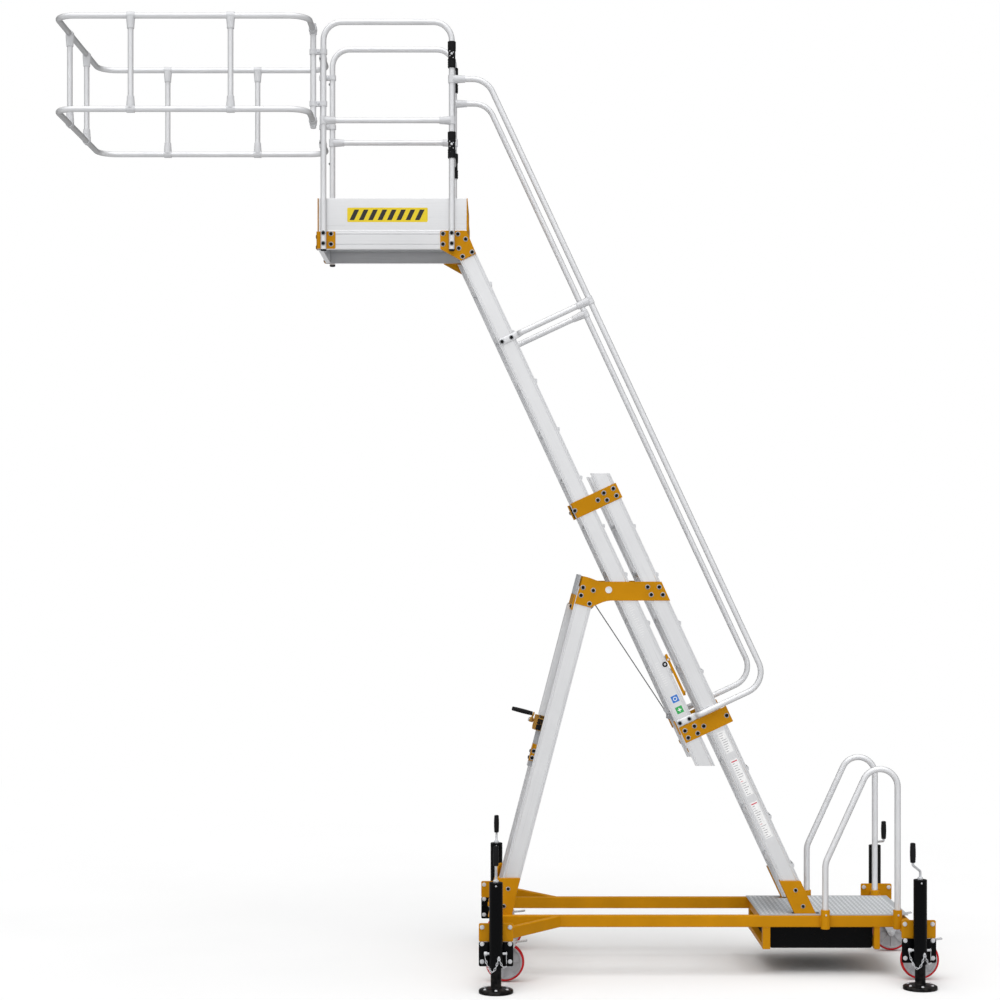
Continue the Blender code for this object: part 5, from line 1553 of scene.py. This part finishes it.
def labels():
    """Plain films with bars and simple shapes only, and no lettering."""
    face = 0.0025 - STILE_OUTER
    chooser = random.Random(11)
    square_labels(face)
    strip_label(chooser, slide, "upper_strip_1", face, 0.7213, 1.880, 0.280, False)
    strip_label(chooser, slide, "upper_strip_2", face, 0.8716, 1.560, 0.150, False)
    strip_label(chooser, base, "lower_strip_1", face, 1.2255, 1.220, 0.120, False)
    strip_label(chooser, base, "lower_strip_2", face, 1.3100, 1.035, 0.205, True)
    strip_label(chooser, base, "lower_strip_3", face, 1.4130, 0.813, 0.205, True)


# ---- floor, light and camera ---------------------------------------------------------------


def floor():
    """White ground that turns into the plain white of the backdrop far away."""
    bm = block(new(), (-60.0, -40.0, -0.02), (60.0, 90.0, -0.0002))
    mesh = bpy.data.meshes.new("floor")
    bm.to_mesh(mesh)
    bm.free()
    nodes = Nodes("studio_floor")
    shade = nodes.mix(nodes.cloud(0.8, 3.0), tone(FLOOR, 0.98), tone(FLOOR, 1.0))
    seen = nodes.add("LightPath").outputs["Is Camera Ray"]
    shade = nodes.mix(seen, tone(FLOOR, FLOOR_BOUNCE), shade)
    mesh.materials.append(nodes.finish(Base_Color=shade, Roughness=0.75, Specular_IOR_Level=0.10))
    depth = nodes.add("SeparateXYZ", {0: nodes.place}).outputs["Y"]
    glow = nodes.add("Emission", {"Strength": 1.0}).outputs[0]
    fade = nodes.math("MULTIPLY", nodes.ramp(depth, 1.5, 9.0), seen)
    mixed = nodes.add("MixShader", {0: fade, 1: nodes.shader.outputs[0], 2: glow}).outputs[0]
    nodes.put(nodes.tree.nodes["Material Output"].inputs["Surface"], mixed)
    placed("floor", mesh)


def studio():
    """A bright side behind the camera and overhead, and a dim one behind the machine."""
    world = bpy.data.worlds.new("studio")
    bpy.context.scene.world = world
    nodes = Nodes("studio", world)
    nodes.tree.nodes.clear()
    split = nodes.add("SeparateXYZ", {0: nodes.add("TexCoord").outputs["Generated"]}).outputs
    front = nodes.ramp(split["Y"], -0.75, 0.20, FRONT_LIGHT, BACK_LIGHT)
    above = nodes.ramp(split["Z"], 0.35, 0.95, 0.0, TOP_LIGHT)
    white = (1.0, 1.0, 1.0, 1.0)
    light = nodes.add("Background", {"Color": white, "Strength": nodes.math("ADD", front, above)}).outputs[0]
    backdrop = nodes.add("Background", {"Color": white, "Strength": 1.0}).outputs[0]
    seen = nodes.add("LightPath").outputs["Is Camera Ray"]
    nodes.add("OutputWorld", {"Surface": nodes.add("MixShader", {0: seen, 1: light, 2: backdrop}).outputs[0]})
    lamp = bpy.data.lights.new("overhead", "SUN")
    lamp.energy = SUN
    lamp.angle = math.radians(55)
    placed("overhead", lamp).rotation_euler = (math.radians(14), math.radians(-6), 0.0)
    bpy.context.scene.view_settings.view_transform = "Standard"


def camera():
    """Level, side on, from mid height, with the lens shifted to hold the whole machine."""
    lens = bpy.data.cameras.new("camera")
    lens.sensor_width = 36.0
    lens.lens = 74.07
    lens.shift_y = 0.06
    lens.clip_end = 500.0
    item = placed("camera", lens)
    item.location = DATUM + Vector((0.032, -11.0, 2.162))
    item.rotation_euler = (math.radians(90), 0.0, 0.0)
    bpy.context.scene.camera = item


# ---- assembly ------------------------------------------------------------------------------

ladder_section(base, "fixed", "lower_ladder", SECTION_OFFSET)
ladder_section(slide, "sliding", "upper_ladder", 0.0)
for build in (
    rung_catch, prop, winch, rope, platform, end_boards, cage, chassis, deck, counterweight, labels,
):
    build()
for side_name, side_sign in SIDES.items():
    for build in (
        guides, arms, side_beam, toe_board, brackets, guardrails, handrails, cage_post, gates,
        foot_brackets, entry_handrails, caution_band,
    ):
        build(side_name, side_sign)
    for place_name in JACKS:
        jack(place_name, side_name, side_sign)
        castor(place_name, side_name, side_sign)
floor()
studio()
camera()
